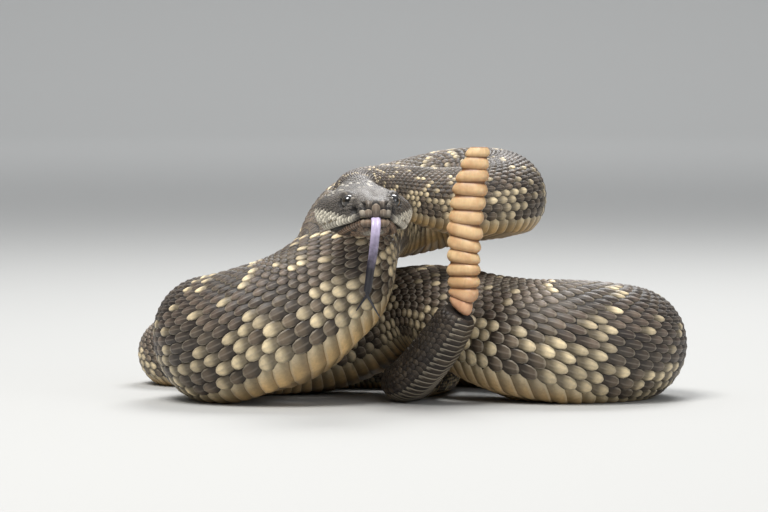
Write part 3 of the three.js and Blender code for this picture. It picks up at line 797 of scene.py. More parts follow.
# Half sizes of a dorsal scale in its pitch and its row's width, and how far scales stray from the lattice:
# along in stations, around in sides, in turn in radians, and in shares of their length and width
SCALE_HALF = (0.63, 0.54)
STRAY_ALONG = 0.035
STRAY_AROUND = 0.05
STRAY_TURN = 0.03
STRAY_LENGTH = 0.05
STRAY_WIDTH = 0.04

# Half length of a scute in its pitch, and how far it reaches under the lowest scales
SCUTE_HALF = 0.68
SCUTE_UNDER = math.radians(5.5)


def dorsal_spots(first, last, rows, seed, belly=BELLY_ANGLE):
    """Spots of the keeled scales between two stations in staggered rows, their stations and shares of rows."""
    rng = np.random.default_rng(seed)
    found = []
    for row in range(-rows, rows + 1):
        number = np.arange(first, last) + (0.5 if row % 2 else 0.0)
        number = number[(number > first - 0.4) & (number < last + 0.4)]
        number = number + rng.normal(0, STRAY_ALONG, len(number))
        s = length_of(number + 0.5)
        part = row / (rows + 0.5)
        wide = row_widening(part) * belly / (rows + 0.5)
        found.append([
            ring_of(s),
            side_number(row_angle(part) * belly) + rng.normal(0, STRAY_AROUND, len(s)),
            SCALE_HALF[0] * pitch_at(s) / RING_STEP * (1 + STRAY_LENGTH * rng.normal(size=len(s))),
            SCALE_HALF[1] * side_number(wide) * (1 + STRAY_WIDTH * rng.normal(size=len(s))),
            rng.normal(0, STRAY_TURN, len(s)),
            coat_depth(s) * (0.93 + 0.1 * rng.random(len(s))),
            number,
            np.full(len(s), abs(part)),
        ])
    *spots, station, share = np.concatenate(found, axis=1)
    return spots, station, share


def scute_spots(first, last, belly=BELLY_ANGLE):
    """Spots of the scutes between two stations."""
    s = length_of(np.arange(first, last) + 0.5)
    half = side_number(math.pi - belly + SCUTE_UNDER)
    side, half_sides, turn = (np.full(len(s), v) for v in (BODY_SIDES / 2, half, 0.0))
    return [ring_of(s), side, SCUTE_HALF * pitch_at(s) / RING_STEP, half_sides, turn, coat_depth(s) * 0.9]


# Finishes, as shader nodes

def rgba(linear):
    """A linear colour with full alpha."""
    return (*linear[:3], 1.0)


class Shades:
    """Writes shader nodes into one tree. A value or colour given to it is a socket or a constant."""

    def __init__(self, tree):
        self.tree = tree

    def feed(self, made, values):
        """Links sockets to a node's inputs, or sets the inputs to constants."""
        for key, value in values.items():
            if isinstance(value, bpy.types.NodeSocket):
                self.tree.links.new(value, made.inputs[key])
            else:
                made.inputs[key].default_value = value
        return made

    def node(self, kind, values=None, **settings):
        """A node with its settings made and its inputs fed, by name or number."""
        made = self.tree.nodes.new(kind)
        for name, value in settings.items():
            setattr(made, name, value)
        return self.feed(made, values or {})

    def maths(self, way, *values):
        return self.node("ShaderNodeMath", dict(enumerate(values)), operation=way).outputs[0]

    def times(self, first, second):
        return self.maths("MULTIPLY", first, second)

    def scaled(self, value, by, plus):
        return self.maths("MULTIPLY_ADD", value, by, plus)

    def mix(self, factor, first, second, way="MIX"):
        """Colour between two colours."""
        ends = [v if isinstance(v, bpy.types.NodeSocket) else rgba(v) for v in (first, second)]
        return self.node("ShaderNodeMix", {0: factor, 6: ends[0], 7: ends[1]},
                         data_type="RGBA", blend_type=way, clamp_factor=True).outputs[2]

    def rise(self, value, low, high):
        """Smooth step of a value from low to high; low may be the larger."""
        return self.node("ShaderNodeMapRange", {0: value, 1: low, 2: high},
                         interpolation_type="SMOOTHSTEP").outputs[0]

    def noise(self, scale, detail=3.0, roughness=0.55, stretch=None):
        """Noise over the animal's own frame, with its scale in cells a metre."""
        place = self.node("ShaderNodeTexCoord").outputs["Object"]
        if stretch:
            place = self.node("ShaderNodeMapping", {"Vector": place, "Scale": stretch}).outputs[0]
        values = {"Vector": place, "Scale": scale, "Detail": detail, "Roughness": roughness}
        return self.node("ShaderNodeTexNoise", values).outputs["Fac"]

    def flat_place(self, name="Scale"):
        """The two parts of a UV map."""
        place = self.node("ShaderNodeUVMap", uv_map=name).outputs[0]
        parts = self.node("ShaderNodeSeparateXYZ", {"Vector": place}).outputs
        return parts["X"], parts["Y"]

    def off_middle(self, across):
        """0 along the middle of a scale and 1 at its sides."""
        return self.maths("ABSOLUTE", self.scaled(across, 2.0, -1.0))

    def marks(self):
        """Red, green, blue and alpha of the stored marks."""
        made = self.node("ShaderNodeVertexColor", layer_name="Marks").outputs
        parts = self.node("ShaderNodeSeparateColor", {"Color": made["Color"]}).outputs
        return parts["Red"], parts["Green"], parts["Blue"], made["Alpha"]

    def bump(self, shader, height, strength, distance=0.0002):
        made = self.node("ShaderNodeBump", {"Height": height, "Strength": strength, "Distance": distance})
        self.feed(shader, {"Normal": made.outputs[0]})


SCALE_INPUTS = ("Colour", "Across", "Along", "Random", "Front shade", "Rim light", "Keel light", "Dust",
                "Dust colour")


def scale_group():
    """Shared colouring of one scale: dark sunk front, partly painted shade, painted shade at its sides,
    painted highlights on its free rim and keel line, and dust.
    """
    name = "Scale colouring"
    if name in bpy.data.node_groups:
        return bpy.data.node_groups[name]
    tree = bpy.data.node_groups.new(name, "ShaderNodeTree")
    for way, titles in (("INPUT", SCALE_INPUTS), ("OUTPUT", ("Colour", "Roughness", "Height"))):
        for title in titles:
            kind = "NodeSocketColor" if "olour" in title else "NodeSocketFloat"
            tree.interface.new_socket(name=title, in_out=way, socket_type=kind)
    shades = Shades(tree)
    rise, times, mix = shades.rise, shades.times, shades.mix
    inward = tree.nodes.new("NodeGroupInput").outputs
    along, off, front = inward["Along"], shades.off_middle(inward["Across"]), inward["Front shade"]
    # Near-black of the painted shade on the front and sides of each scale
    painted_shade = colour("1c1613")
    now = mix(1.0, inward["Colour"], shades.scaled(inward["Random"], 0.5, 0.75), "MULTIPLY")
    # Dark sunk front, partly the scale's own darker base and partly painted shade under the scale in front,
    # then painted shade at its sides
    now = mix(times(rise(along, 0.8, 0.34), front), now, painted_shade)
    now = mix(times(rise(off, 0.5, 0.95), times(front, 0.6)), now, painted_shade)
    mottle = shades.noise(900.0)
    now = mix(1.0, now, shades.scaled(mottle, 0.6, 0.7), "MULTIPLY")
    # Painted highlight along the keel
    keel = times(rise(off, 0.22, 0.02), rise(along, 0.2, 0.4))
    now = mix(times(keel, inward["Keel light"]), now, colour("b3a897"))
    # Painted highlight along the free rim
    rim = shades.maths("MAXIMUM", rise(off, 0.72, 0.95), rise(along, 0.86, 0.97))
    rim = times(rim, rise(along, 0.45, 0.7))
    now = mix(times(rim, inward["Rim light"]), now, colour("c9bda6"))
    dusty = times(rise(shades.noise(70.0), 0.45, 0.75), inward["Dust"])
    shades.feed(tree.nodes.new("NodeGroupOutput"), {
        "Colour": mix(dusty, now, inward["Dust colour"]),
        "Roughness": shades.maths("ADD", shades.scaled(mottle, 0.25, 0.36), times(dusty, 0.2)),
        "Height": shades.noise(2600.0, 2.0),
    })
    return tree


def plain_material(name, show):
    """A material with an empty node tree, its shader, and its colour for solid view."""
    made = bpy.data.materials.new(name)
    made.use_nodes = True
    made.diffuse_color = rgba(show)
    tree = made.node_tree
    tree.nodes.clear()
    shader = tree.nodes.new("ShaderNodeBsdfPrincipled")
    leave = tree.nodes.new("ShaderNodeOutputMaterial")
    tree.links.new(shader.outputs[0], leave.inputs["Surface"])
    return made, tree, shader


def finish_scale(shades, shader, now, chance, front, rim, keel, dust, bump):
    """Feeds a colour through the shared scale group to the shader; front sets its dark front with painted
    shade, rim and keel its painted highlights.
    """
    along, across = shades.flat_place()
    made = shades.node("ShaderNodeGroup", {
        "Colour": now, "Along": along, "Across": across, "Random": chance, "Front shade": front,
        "Rim light": rim, "Keel light": keel, "Dust": dust, "Dust colour": rgba(colour("a79c8c")),
    }, node_tree=scale_group()).outputs
    shades.feed(shader, {"Base Color": made["Colour"], "Roughness": made["Roughness"],
                         "Specular IOR Level": 0.45})
    shades.bump(shader, made["Height"], bump)


def body_finish(shades, shader, looks):
    """Marks here: red cream, green blotch, blue olive."""
    red, green, blue, chance = shades.marks()
    now = shades.mix(green, looks.ground, looks.blotch)
    low = shades.mix(green, looks.flank, looks.blotch_low)
    now = shades.mix(shades.times(blue, 0.75), now, low)
    now = shades.mix(red, now, looks.cream)
    finish_scale(shades, shader, now, chance, front=0.8, rim=0.3, keel=0.22, dust=0.14, bump=0.25)


def belly_finish(shades, shader, looks):
    """Yellow cream, paler and stained towards the ends of each scute."""
    _, _, blue, chance = shades.marks()
    off = shades.off_middle(shades.flat_place()[1])
    now = shades.mix(shades.rise(off, 0.55, 1.0), looks.belly, looks.cream)
    stain = shades.times(shades.rise(shades.noise(260.0), 0.5, 0.72), blue)
    edge = shades.times(stain, shades.rise(off, 0.5, 0.85))
    now = shades.mix(shades.times(edge, 0.75), now, looks.flank)
    finish_scale(shades, shader, now, chance, front=0.5, rim=0.3, keel=0.0, dust=0.15, bump=0.15)


def tail_finish(rim):
    """Finish of dark scales whose free edges carry a pale painted highlight as strong as rim."""
    def finish(shades, shader, looks):
        red, _, blue, chance = shades.marks()
        now = shades.mix(blue, looks.tail, colour("46342b"))
        now = shades.mix(red, now, looks.cream)
        finish_scale(shades, shader, now, chance, front=0.6, rim=rim, keel=0.05, dust=0.04, bump=0.25)
    return finish


def skin_finish(shades, shader, looks):
    """Dark skin between the scales, which carries the same markings faintly, and painted shade in the head's
    mouth line, pits, nostrils and eye sockets.
    """
    red, green, blue, _ = shades.marks()
    now = shades.mix(shades.times(green, 0.5), looks.skin, looks.mouth)
    now = shades.mix(shades.times(red, 0.35), now, looks.cream)
    # Painted shade in the mouth line, pits, nostrils and eye sockets, stored in blue
    now = shades.mix(blue, now, looks.mouth)
    now = shades.mix(1.0, now, shades.scaled(shades.noise(1500.0), 0.8, 0.6), "MULTIPLY")
    shades.feed(shader, {"Base Color": now, "Roughness": 0.6})
    shades.bump(shader, shades.noise(2400.0, 2.0), 0.3)


def head_finish(shades, shader, looks):
    """Marks here: red cream, green dark with painted shade round the pits, blue lower lip."""
    red, green, blue, chance = shades.marks()
    dapple = shades.rise(shades.noise(420.0), 0.42, 0.68)
    now = shades.mix(shades.times(dapple, 0.6), looks.crown, colour("36322f"))
    for share, shown in ((green, looks.face), (blue, looks.lip), (red, looks.cheek)):
        now = shades.mix(share, now, shown)
    finish_scale(shades, shader, now, chance, front=0.6, rim=0.22, keel=0.3, dust=0.06, bump=0.3)


def eye_finish(shades, shader, looks):
    """Upright slit pupil in a dark bronze iris, under a clear wet coat."""
    place = shades.flat_place("Iris")

    def oval(*halves):
        """1 on the edge of an oval about the eye's axis, and less inside it."""
        parts = [shades.maths("DIVIDE", *pair) for pair in zip(place, halves)]
        return shades.maths("SQRT", shades.maths("ADD", *(shades.maths("POWER", v, 2.0) for v in parts)))

    now = shades.mix(shades.rise(shades.noise(3800.0, 4.0), 0.4, 0.65), looks.iris, colour("4a4030"))
    now = shades.mix(shades.rise(oval(1.0, 1.0), 0.62, 0.86), now, colour("120f0c"))
    now = shades.mix(shades.rise(oval(0.16, 0.66), 1.1, 0.85), now, colour("030303"))
    shades.feed(shader, {"Base Color": now, "Roughness": 0.12, "Coat Weight": 1.0, "Coat Roughness": 0.03})


def tongue_finish(shades, shader, looks):
    """Lilac at the mouth and black towards the fork."""
    along = shades.maths("ADD", shades.flat_place()[0], shades.scaled(shades.noise(500.0), 0.2, -0.1))
    now = shades.mix(shades.rise(along, 0.2, 0.6), looks.tongue_root, looks.tongue_tip)
    shades.feed(shader, {"Base Color": now, "Roughness": 0.28, "Coat Weight": 0.4, "Coat Roughness": 0.15})


def horn_finish(shades, shader, looks):
    """Dry tan horn, with painted shade in the grooves and over the lower part of each segment, pinker at the
    foot.
    """
    red, green, blue, _ = shades.marks()
    cloud = shades.times(shades.rise(shades.noise(160.0), 0.35, 0.7), 0.55)
    now = looks.horn
    # Green is painted shade in the grooves and over each segment's lower part, blue a deeper painted shade in
    # the grooves
    for share, shown in ((cloud, looks.horn_deep_and_groove_shade), (green, looks.horn_deep_and_groove_shade),
                         (shades.times(red, 0.55), colour("c98f74")), (blue, colour("5a3418"))):
        now = shades.mix(share, now, shown)
    streaks = shades.noise(700.0, 3.0, 0.6, (1.0, 1.0, 0.25))
    now = shades.mix(1.0, now, shades.scaled(streaks, 0.35, 0.82), "MULTIPLY")
    shades.feed(shader, {"Base Color": now, "Roughness": shades.scaled(streaks, 0.25, 0.32),
                         "Subsurface Weight": 0.12, "Subsurface Scale": 0.002})
    shades.bump(shader, streaks, 0.25, 0.0003)


# Each material: the colour that it shows in solid view, and what writes its nodes
FINISHES = {
    "body scales": ("ground", body_finish),
    "belly scutes": ("belly", belly_finish),
    "tail scales": ("tail", tail_finish(0.05)),
    "tail scutes": ("tail", tail_finish(0.45)),
    "skin between scales": ("skin", skin_finish),
    "head scales": ("crown", head_finish),
    "slit eye": ("iris", eye_finish),
    "tongue flesh": ("tongue_root", tongue_finish),
    "rattle horn": ("horn", horn_finish),
}


def material(name):
    """The named material, made at first use."""
    if name in bpy.data.materials:
        return bpy.data.materials[name]
    looks = bpy.context.scene.snake_colours
    shown, finish = FINISHES[name]
    made, tree, shader = plain_material(name, getattr(looks, shown))
    finish(Shades(tree), shader, looks)
    return made


# Markings of the head, in the head's frame

# Level between the cream of the cheek and the dark stripe, by distance from the joint
STRIPE_X = (8, 14, 20, 26, 31, 36, 41)
STRIPE_Z = (-2.4, -2.6, -1.8, -2.1, -2.6, -2.1, -1.6)

# Painted shade round the pit, wider than its hollow, and the pale spot before the eye
PIT_PAINTED_SHADE = {**PIT, "half": (4.2, 3.8, 3.1)}
PALE_SPOT = {"x": 32.6, "y": 7.6, "z": 4.4, "half": (1.0, 1.6, 0.8)}


def head_marks(points, seed):
    """Cream cheeks and upper lip, dark face and eye stripe with painted shade round the pits, brown lower lip,
    random.
    """
    x, y, z = points[:, 0], np.abs(points[:, 1]), points[:, 2]
    gap = mouth_gap(points)
    chance, _ = lattice_random(len(points), seed)
    top = np.interp(x, STRIPE_X, STRIPE_Z)
    side = smooth(y, 2.0, 4.0)
    cream = smooth(gap, 0.1, 0.5) * smooth(z, top + 0.6, top - 0.4) * side
    under = smooth(gap, -3.2, -4.6) * smooth(x, 2, 8)
    cream = np.maximum(cream * (0.85 + 0.15 * chance), under * (0.5 + 0.3 * chance))
    stripe = smooth(z, top - 0.2, top + 0.4) * smooth(z, top + 3.4, top + 2.0) * side * smooth(x, 6, 12)
    # Painted shade round the pit
    pit = blob(points, PIT_PAINTED_SHADE, 3)
    nape = smooth(x + 0.25 * points[:, 1], 19, 13) * smooth(z, -3, 0)
    dark = np.maximum.reduce([stripe * 0.45, pit, nape * (0.55 + 0.3 * chance)])
    lower = smooth(gap, -0.1, -0.5) * smooth(gap, -4.2, -2.8)
    cream = np.maximum(cream * (1 - 0.8 * pit), 0.8 * blob(points, PALE_SPOT, 3))
    cream = np.maximum(cream, 0.45 * nape * (chance > 0.86))
    return np.stack([cream, dark, lower * (0.7 + 0.3 * chance), chance], -1)


def head_ring_of(x):
    """Ring number of a distance from the joint on the head's sheet."""
    ring_x = HEAD_SHEET.points[:, 0, 0]
    return np.interp(-x, -ring_x, np.arange(HEAD_RINGS))


def head_surface(r, c, lift):
    """Points over the head's skin with its features."""
    return head_to_world(HEAD_SHEET.at(r, c, lift))


# Width of the small head scales by distance from the joint, the step between their rows, and how they stray
HEAD_SCALE_X = (0, 20, 41)
HEAD_SCALE_WIDTH = (1.9, 1.6, 1.3)
HEAD_ROW_STEP = 0.62
HEAD_STRAY = 0.12

# What small scales keep clear of: a band about the lips, a ring round the eye, the brow and the snout
LIP_ROOM = {"middle": -0.05, "half": 2.3, "behind": 0.5}
EYE_ROOM = {"radius": 2.45, "out": 5}
BROW_ROOM = {**BROW, "half": (4.6, 2.2, 1.9)}
SNOUT_ROOM = {"from": 39.6, "top": 3.9, "bottom": -4.9}

LIP_SHIELDS = 15
LIP_LENGTH = 2.05
LIP_FRONT = 39.3
SHIELD_DEPTH = 0.55


def clear_of_features(points):
    """True where small scales may sit: off the eyes, pits, nostrils, mouth and shields."""
    x, y, z = points[:, 0], np.abs(points[:, 1]), points[:, 2]
    lips = np.abs(mouth_gap(points) - LIP_ROOM["middle"]) < LIP_ROOM["half"]
    lips = lips & (x > MOUTH["corner"] - LIP_ROOM["behind"])
    eye = (eye_ring(points) < EYE_ROOM["radius"]) & (y > EYE_ROOM["out"])
    hollows = (blob(points, PIT) > 0.3) | (blob(points, NOSTRIL) > 0.3)
    brow = blob(points, BROW_ROOM, 6) > 0.4
    front = (x > SNOUT_ROOM["from"]) & (z < SNOUT_ROOM["top"]) & (z > SNOUT_ROOM["bottom"])
    return ~(lips | eye | hollows | brow | front)


def head_spots(ring, side, half_along, half_around, depth, turn=0.0):
    """Spots on the head's sheet, from half sizes in millimetres."""
    down, around = HEAD_SHEET.spans(ring, side)
    same = np.ones(len(ring))
    return [ring, side, half_along / down, half_around / around, turn * same, depth * same]


def small_head_scales(seed):
    """Small keeled scales in staggered rows round the head, from the snout to the nape, and their places."""
    rng = np.random.default_rng(seed)
    found = []
    x = 40.9
    while x > -0.2:
        wide = np.interp(x, HEAD_SCALE_X, HEAD_SCALE_WIDTH)
        r = float(head_ring_of(x))
        circle = HEAD_SHEET.read(HEAD_SHEET.points, np.full(HEAD_SIDES, r), np.arange(HEAD_SIDES))
        girth = np.linalg.norm(np.roll(circle, -1, 0) - circle, axis=1).sum()
        count = max(int(girth / (wide * 0.93)), 8)
        c = (np.arange(count) + (0.5 if len(found) % 2 else 0)) / count * HEAD_SIDES
        found.append([r + rng.normal(0, HEAD_STRAY, count), c + rng.normal(0, HEAD_STRAY, count),
                      wide * (1 + rng.normal(0, 0.05, count))])
        x -= wide * HEAD_ROW_STEP
    ring, side, size = np.concatenate(found, axis=1)
    spots = HEAD_BARE.read(HEAD_BARE.points, ring, side)
    keep = clear_of_features(spots)
    ring, side, size, kept = ring[keep], side[keep], size[keep], spots[keep]
    length = size * (1.0 + 0.35 * smooth(kept[:, 0], 22, 6))
    return head_spots(ring, side, 0.62 * length, 0.5 * size, 0.24 * size), kept


def lip_shields(offset, tall):
    """A row of shields along the mouth on both sides, offset above or below its line, and their places."""
    found = []
    half = HEAD_SIDES // 2
    for numbers in (np.arange(4.0, half - 4), np.arange(half + 4.0, HEAD_SIDES - 4)):
        for x in np.linspace(MOUTH["corner"] + 1.0, LIP_FRONT, LIP_SHIELDS):
            r = float(head_ring_of(x))
            row = HEAD_BARE.read(HEAD_BARE.points, np.full(len(numbers), r), numbers)
            best = np.argmin(np.abs(row[:, 2] - mouth_height(x) - offset))
            found.append([r, numbers[best], *row[best]])
    found = np.array(found)
    return head_spots(found[:, 0], found[:, 1], LIP_LENGTH / 2, tall / 2, SHIELD_DEPTH), found[:, 2:]


def brow_shields():
    """The two brow shields over the eyes, and their places."""
    found = []
    for sign in (-1, 1):
        place = np.array([BROW["x"], sign * BROW["y"], BROW["z"] + 0.6])
        far = np.linalg.norm(HEAD_SHEET.points - place, axis=-1)
        found.append(np.unravel_index(np.argmin(far), far.shape))
    ring, side = np.array(found).T
    return head_spots(ring, side, 4.3, 2.0, 0.7, np.array([0.1, -0.1])), HEAD_SHEET.points[ring, side]


# Shields over the front of the snout: place across and up, half sizes across and up, and shares of cream,
# dark and lip brown
SNOUT_SHIELDS = {
    "rostral": (0.0, 0.7, 1.4, 2.3, 0.1, 0.55, 0.5),
    "inner nasal": (2.35, 2.7, 1.1, 1.7, 0.05, 0.85, 0.2),
    "outer nasal": (5.0, 2.4, 0.6, 1.7, 0.2, 0.55, 0.1),
    "first upper lip": (2.45, -0.3, 1.2, 1.5, 0.12, 0.6, 0.5),
    "second upper lip": (4.2, -0.5, 0.95, 1.4, 0.3, 0.4, 0.4),
    "inner snout": (1.05, 3.7, 1.2, 0.8, 0.0, 0.45, 0.0),
    "chin": (0.0, -4.0, 1.7, 1.7, 0.0, 0.25, 1.0),
    "first lower lip": (2.5, -3.7, 1.3, 1.7, 0.1, 0.2, 1.0),
    "second lower lip": (4.2, -3.9, 0.95, 1.7, 0.15, 0.2, 0.9),
}


def snout_shields():
    """The shields of the snout on both sides, and their marks."""
    rows = []
    for across, up, half_across, half_up, cream, dark, lip in SNOUT_SHIELDS.values():
        for sign in (-1, 1) if across else (1,):
            rows.append([up, sign * across, half_up, half_across, 0, 0.24, cream, dark, lip, 0.35])
    table = np.array(rows)
    return list(table[:, :6].T), table[:, 6:]


# Sizes and colours that a user would change

def tint(title, code, words):
    """A colour that a user may change."""
    return FloatVectorProperty(name=title, description=words, subtype="COLOR", size=3, min=0, max=1,
                               default=colour(code))


class SnakeColours(bpy.types.PropertyGroup):
    ground: tint("Ground", "5f5047", "Grey-brown of the back between its blotches")
    blotch: tint("Blotch", "362b26", "Dark brown of the blotches")
    blotch_low: tint("Low blotch", "463c30", "Dark olive of the blotches low on the flank")
    flank: tint("Flank", "716350", "Olive grey of the large scales low on the flank")
    cream: tint("Cream", "ead6ae", "Pale single scales that edge the blotches")
    belly: tint("Belly", "ccab78", "Yellow cream of the belly scutes")
    skin: tint("Skin", "1c1613", "Skin between the scales")
    tail: tint("Tail", "241b17", "Blackish brown of the tail")
    crown: tint("Crown", "625d59", "Dusty grey of the head's top")
    # Face also colours the painted shade round the pits
    face: tint("Face", "322e2b", "Dark stripe behind the eye and round the pit")
    cheek: tint("Cheek", "f6eedb", "Cream of the cheek and upper lip")
    lip: tint("Lip", "8a6b52", "Brown of the lower lip")
    # The colour of the painted shade in the closed mouth, the pits, the nostrils and the eye sockets
    mouth: tint("Mouth line", "120d0b", "Dark line of the closed mouth, the pits and the nostrils")
    iris: tint("Iris", "2a251c", "Dark bronze of the eye")
    tongue_root: tint("Tongue root", "cdc0df", "Lilac of the tongue at the mouth")
    tongue_tip: tint("Tongue tip", "15131c", "Black of the tongue's fork")
    horn: tint("Horn", "dab98c", "Tan of the rattle")
    # Deep horn also colours the painted shade in the rattle's grooves and on the lower part of each segment
    horn_deep_and_groove_shade: tint("Deep horn", "a9784c", "Darker tan in the rattle's grooves")


class SnakeSizes(bpy.types.PropertyGroup):
    lens_distance: FloatProperty(name="Camera distance", default=1.6, min=0.5, unit="LENGTH",
                                 description="From the camera to the coil's middle plane")
    eye_radius: FloatProperty(name="Eye radius", description="Radius of each eyeball",
                              default=EYE["radius"] * MM, min=0.001, unit="LENGTH")
    rattle_segments: IntProperty(name="Rattle segments", description="Number of interlocking segments",
                                 default=13, min=3, max=24)


def sizes():
    """The sizes that a user may change."""
    return bpy.context.scene.snake_sizes


FLESH = ("head", "neck", "upper_loop", "front_coil", "left_turn", "middle_coil", "right_turn", "back_coil",
         "hind_turn", "inner_coil", "tail")


# How much stronger the cream is stored in the skin, which shows only a part of it
SKIN_CREAM = 1.6


def skin_mesh():
    """Points and faces of the head's and the body's sheets, joined at the neck and closed at both ends."""
    head, body = head_to_world(HEAD_SHEET.points), SKIN_SHEET.points[1:]
    body_start, last = HEAD_RINGS * HEAD_SIDES, (HEAD_RINGS - 1) * HEAD_SIDES
    points = np.vstack([head.reshape(-1, 3), body.reshape(-1, 3), head[:1].mean(1), body[-1:].mean(1)])
    faces = sheet_faces(HEAD_RINGS, HEAD_SIDES).tolist()
    faces += sheet_faces(BODY_RINGS - 1, BODY_SIDES, body_start).tolist()
    ratio = HEAD_SIDES // BODY_SIDES
    for k in range(BODY_SIDES):
        near = [last + (ratio * k + i) % HEAD_SIDES for i in range(ratio + 1)]
        faces.append([near[0], body_start + k, body_start + (k + 1) % BODY_SIDES, *near[:0:-1]])
    faces += fan(len(points) - 2, 0, HEAD_SIDES)
    faces += fan(len(points) - 1, body_start + (BODY_RINGS - 2) * BODY_SIDES, BODY_SIDES, -1)
    return points, faces


def head_skin_marks():
    """Marks of the skin on the head, with painted shade in the mouth line, pits, nostrils and eye sockets in
    blue.
    """
    flat = HEAD_BARE.points.reshape(-1, 3)
    line = mouth_reach(flat) * smooth(np.abs(mouth_gap(flat)), 0.55, 0.3)
    holes = np.maximum(blob(flat, PIT, 4), blob(flat, NOSTRIL, 3))
    socket = (1 - smooth(eye_ring(flat), 1.9, 2.4)) * on_eye_side(flat)
    marks = head_marks(flat, 11)
    # Painted shade in the mouth line, pits, nostrils and eye sockets
    marks[:, 2] = np.maximum.reduce([line, smooth(holes, 0.15, 0.45), socket])
    return marks


def body_skin_marks():
    """Red cream and green blotches of the skin on the body."""
    s = np.repeat(np.arange(1, BODY_RINGS), BODY_SIDES) / (BODY_RINGS - 1) * LENGTH
    angle = np.tile(np.arange(BODY_SIDES), BODY_RINGS - 1) / BODY_SIDES * TURN
    angle = np.where(angle > math.pi, TURN - angle, angle)
    marks = body_marks(station_of(s), row_share(angle), 12) * (s < VENT)[:, None]
    belly = smooth(angle, BELLY_ANGLE, BELLY_ANGLE + 0.1) * (s < VENT)
    return np.maximum(0.6 * marks[:, 0], belly * SKIN_CREAM), marks[:, 1] * (1 - belly)


class SNAKE_OT_skin(bpy.types.Operator):
    """Makes one whole skin over the head, body and tail"""
    bl_idname = "snake.skin"
    bl_label = "Skin"

    def execute(self, context):
        points, faces = skin_mesh()
        made = new_object("skin", points, *loops_of(faces), "scales", material("skin between scales"))
        head = head_skin_marks()
        marks = np.zeros((len(points), 4))
        marks[:len(head)] = head
        marks[:len(head), 0] *= SKIN_CREAM
        marks[-2] = head[0]
        marks[len(head):-2, 0], marks[len(head):-2, 1] = body_skin_marks()
        paint(made, "Marks", marks)
        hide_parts(*FLESH)
        return {"FINISHED"}


# Name of each piece of the body's coat, and the shares of the way to the vent between which it lies
BODY_PIECES = (
    ("neck_scales", 0.0, 0.13), ("upper_loop_scales", 0.13, 0.26), ("front_coil_scales", 0.26, 0.38),
    ("left_turn_scales", 0.38, 0.5), ("middle_coil_scales", 0.5, 0.62), ("right_turn_scales", 0.62, 0.76),
    ("back_coil_scales", 0.76, 0.9), ("inner_coil_scales", 0.9, 1.0),
)


class SNAKE_OT_scales(bpy.types.Operator):
    """Lays keeled scales over the back and flanks, in pieces along the body"""
    bl_idname = "snake.scales"
    bl_label = "Keeled scales"

    def execute(self, context):
        for number, (name, start, end) in enumerate(BODY_PIECES):
            first, last = round(start * VENT_STATION), round(end * VENT_STATION)
            spots, station, share = dorsal_spots(first, last, DORSAL_ROWS, 100 + number)
            marks = body_marks(station, share, 200 + 10 * number)
            lay_plates(name, KEELED, body_surface, spots, marks, "scales", material("body scales"))
        return {"FINISHED"}


class SNAKE_OT_scutes(bpy.types.Operator):
    """Lays the broad belly scutes"""
    bl_idname = "snake.scutes"
    bl_label = "Belly scutes"

    def execute(self, context):
        spots = scute_spots(0, VENT_STATION)
        marks = belly_marks(VENT_STATION, 301)
        lay_plates("belly_scutes", SCUTE, body_surface, spots, marks, "scales", material("belly scutes"))
        return {"FINISHED"}


class SNAKE_OT_tail(bpy.types.Operator):
    """Lays the scales and scutes of the dark tail"""
    bl_idname = "snake.tail"
    bl_label = "Tail scales"

    def execute(self, context):
        last = len(STATIONS) - 1
        spots, _, share = dorsal_spots(VENT_STATION, last, TAIL_ROWS, 400, TAIL_BELLY_ANGLE)
        marks = tail_marks(share, 401)
        lay_plates("tail_scales", KEELED, body_surface, spots, marks, "dark_tail", material("tail scales"))
        spots = scute_spots(VENT_STATION, last, TAIL_BELLY_ANGLE)
        marks = tail_marks(np.ones(last - VENT_STATION), 402)
        marks[:3, 0] = 0.8
        lay_plates("tail_scutes", SCUTE, body_surface, spots, marks, "dark_tail", material("tail scutes"))
        return {"FINISHED"}


class SNAKE_OT_head(bpy.types.Operator):
    """Lays the small head scales, lip shields, brow shields and snout shields"""
    bl_idname = "snake.head"
    bl_label = "Head scales"

    def execute(self, context):
        look = material("head scales")
        spots, kept = small_head_scales(500)
        lay_plates("head_scales", GRANULE, head_surface, spots, head_marks(kept, 501), "crown", look)
        for name, offset, tall, seed in (("upper_lip_shields", 1.15, 2.0, 510),
                                         ("lower_lip_shields", -1.25, 1.9, 520)):
            spots, kept = lip_shields(offset, tall)
            lay_plates(name, SHIELD, head_surface, spots, head_marks(kept, seed), "crown", look)
        spots, marks = snout_shields()
        lay_plates("snout_shields", SHIELD, snout_surface, spots, marks, "crown", look)
        spots, kept = brow_shields()
        marks = head_marks(kept, 530)
        marks[:, :3] = 0
        lay_plates("brow_shields", SHIELD, head_surface, spots, marks, "crown", look)
        return {"FINISHED"}


EYE_RINGS = 33
EYE_SIDES = 64


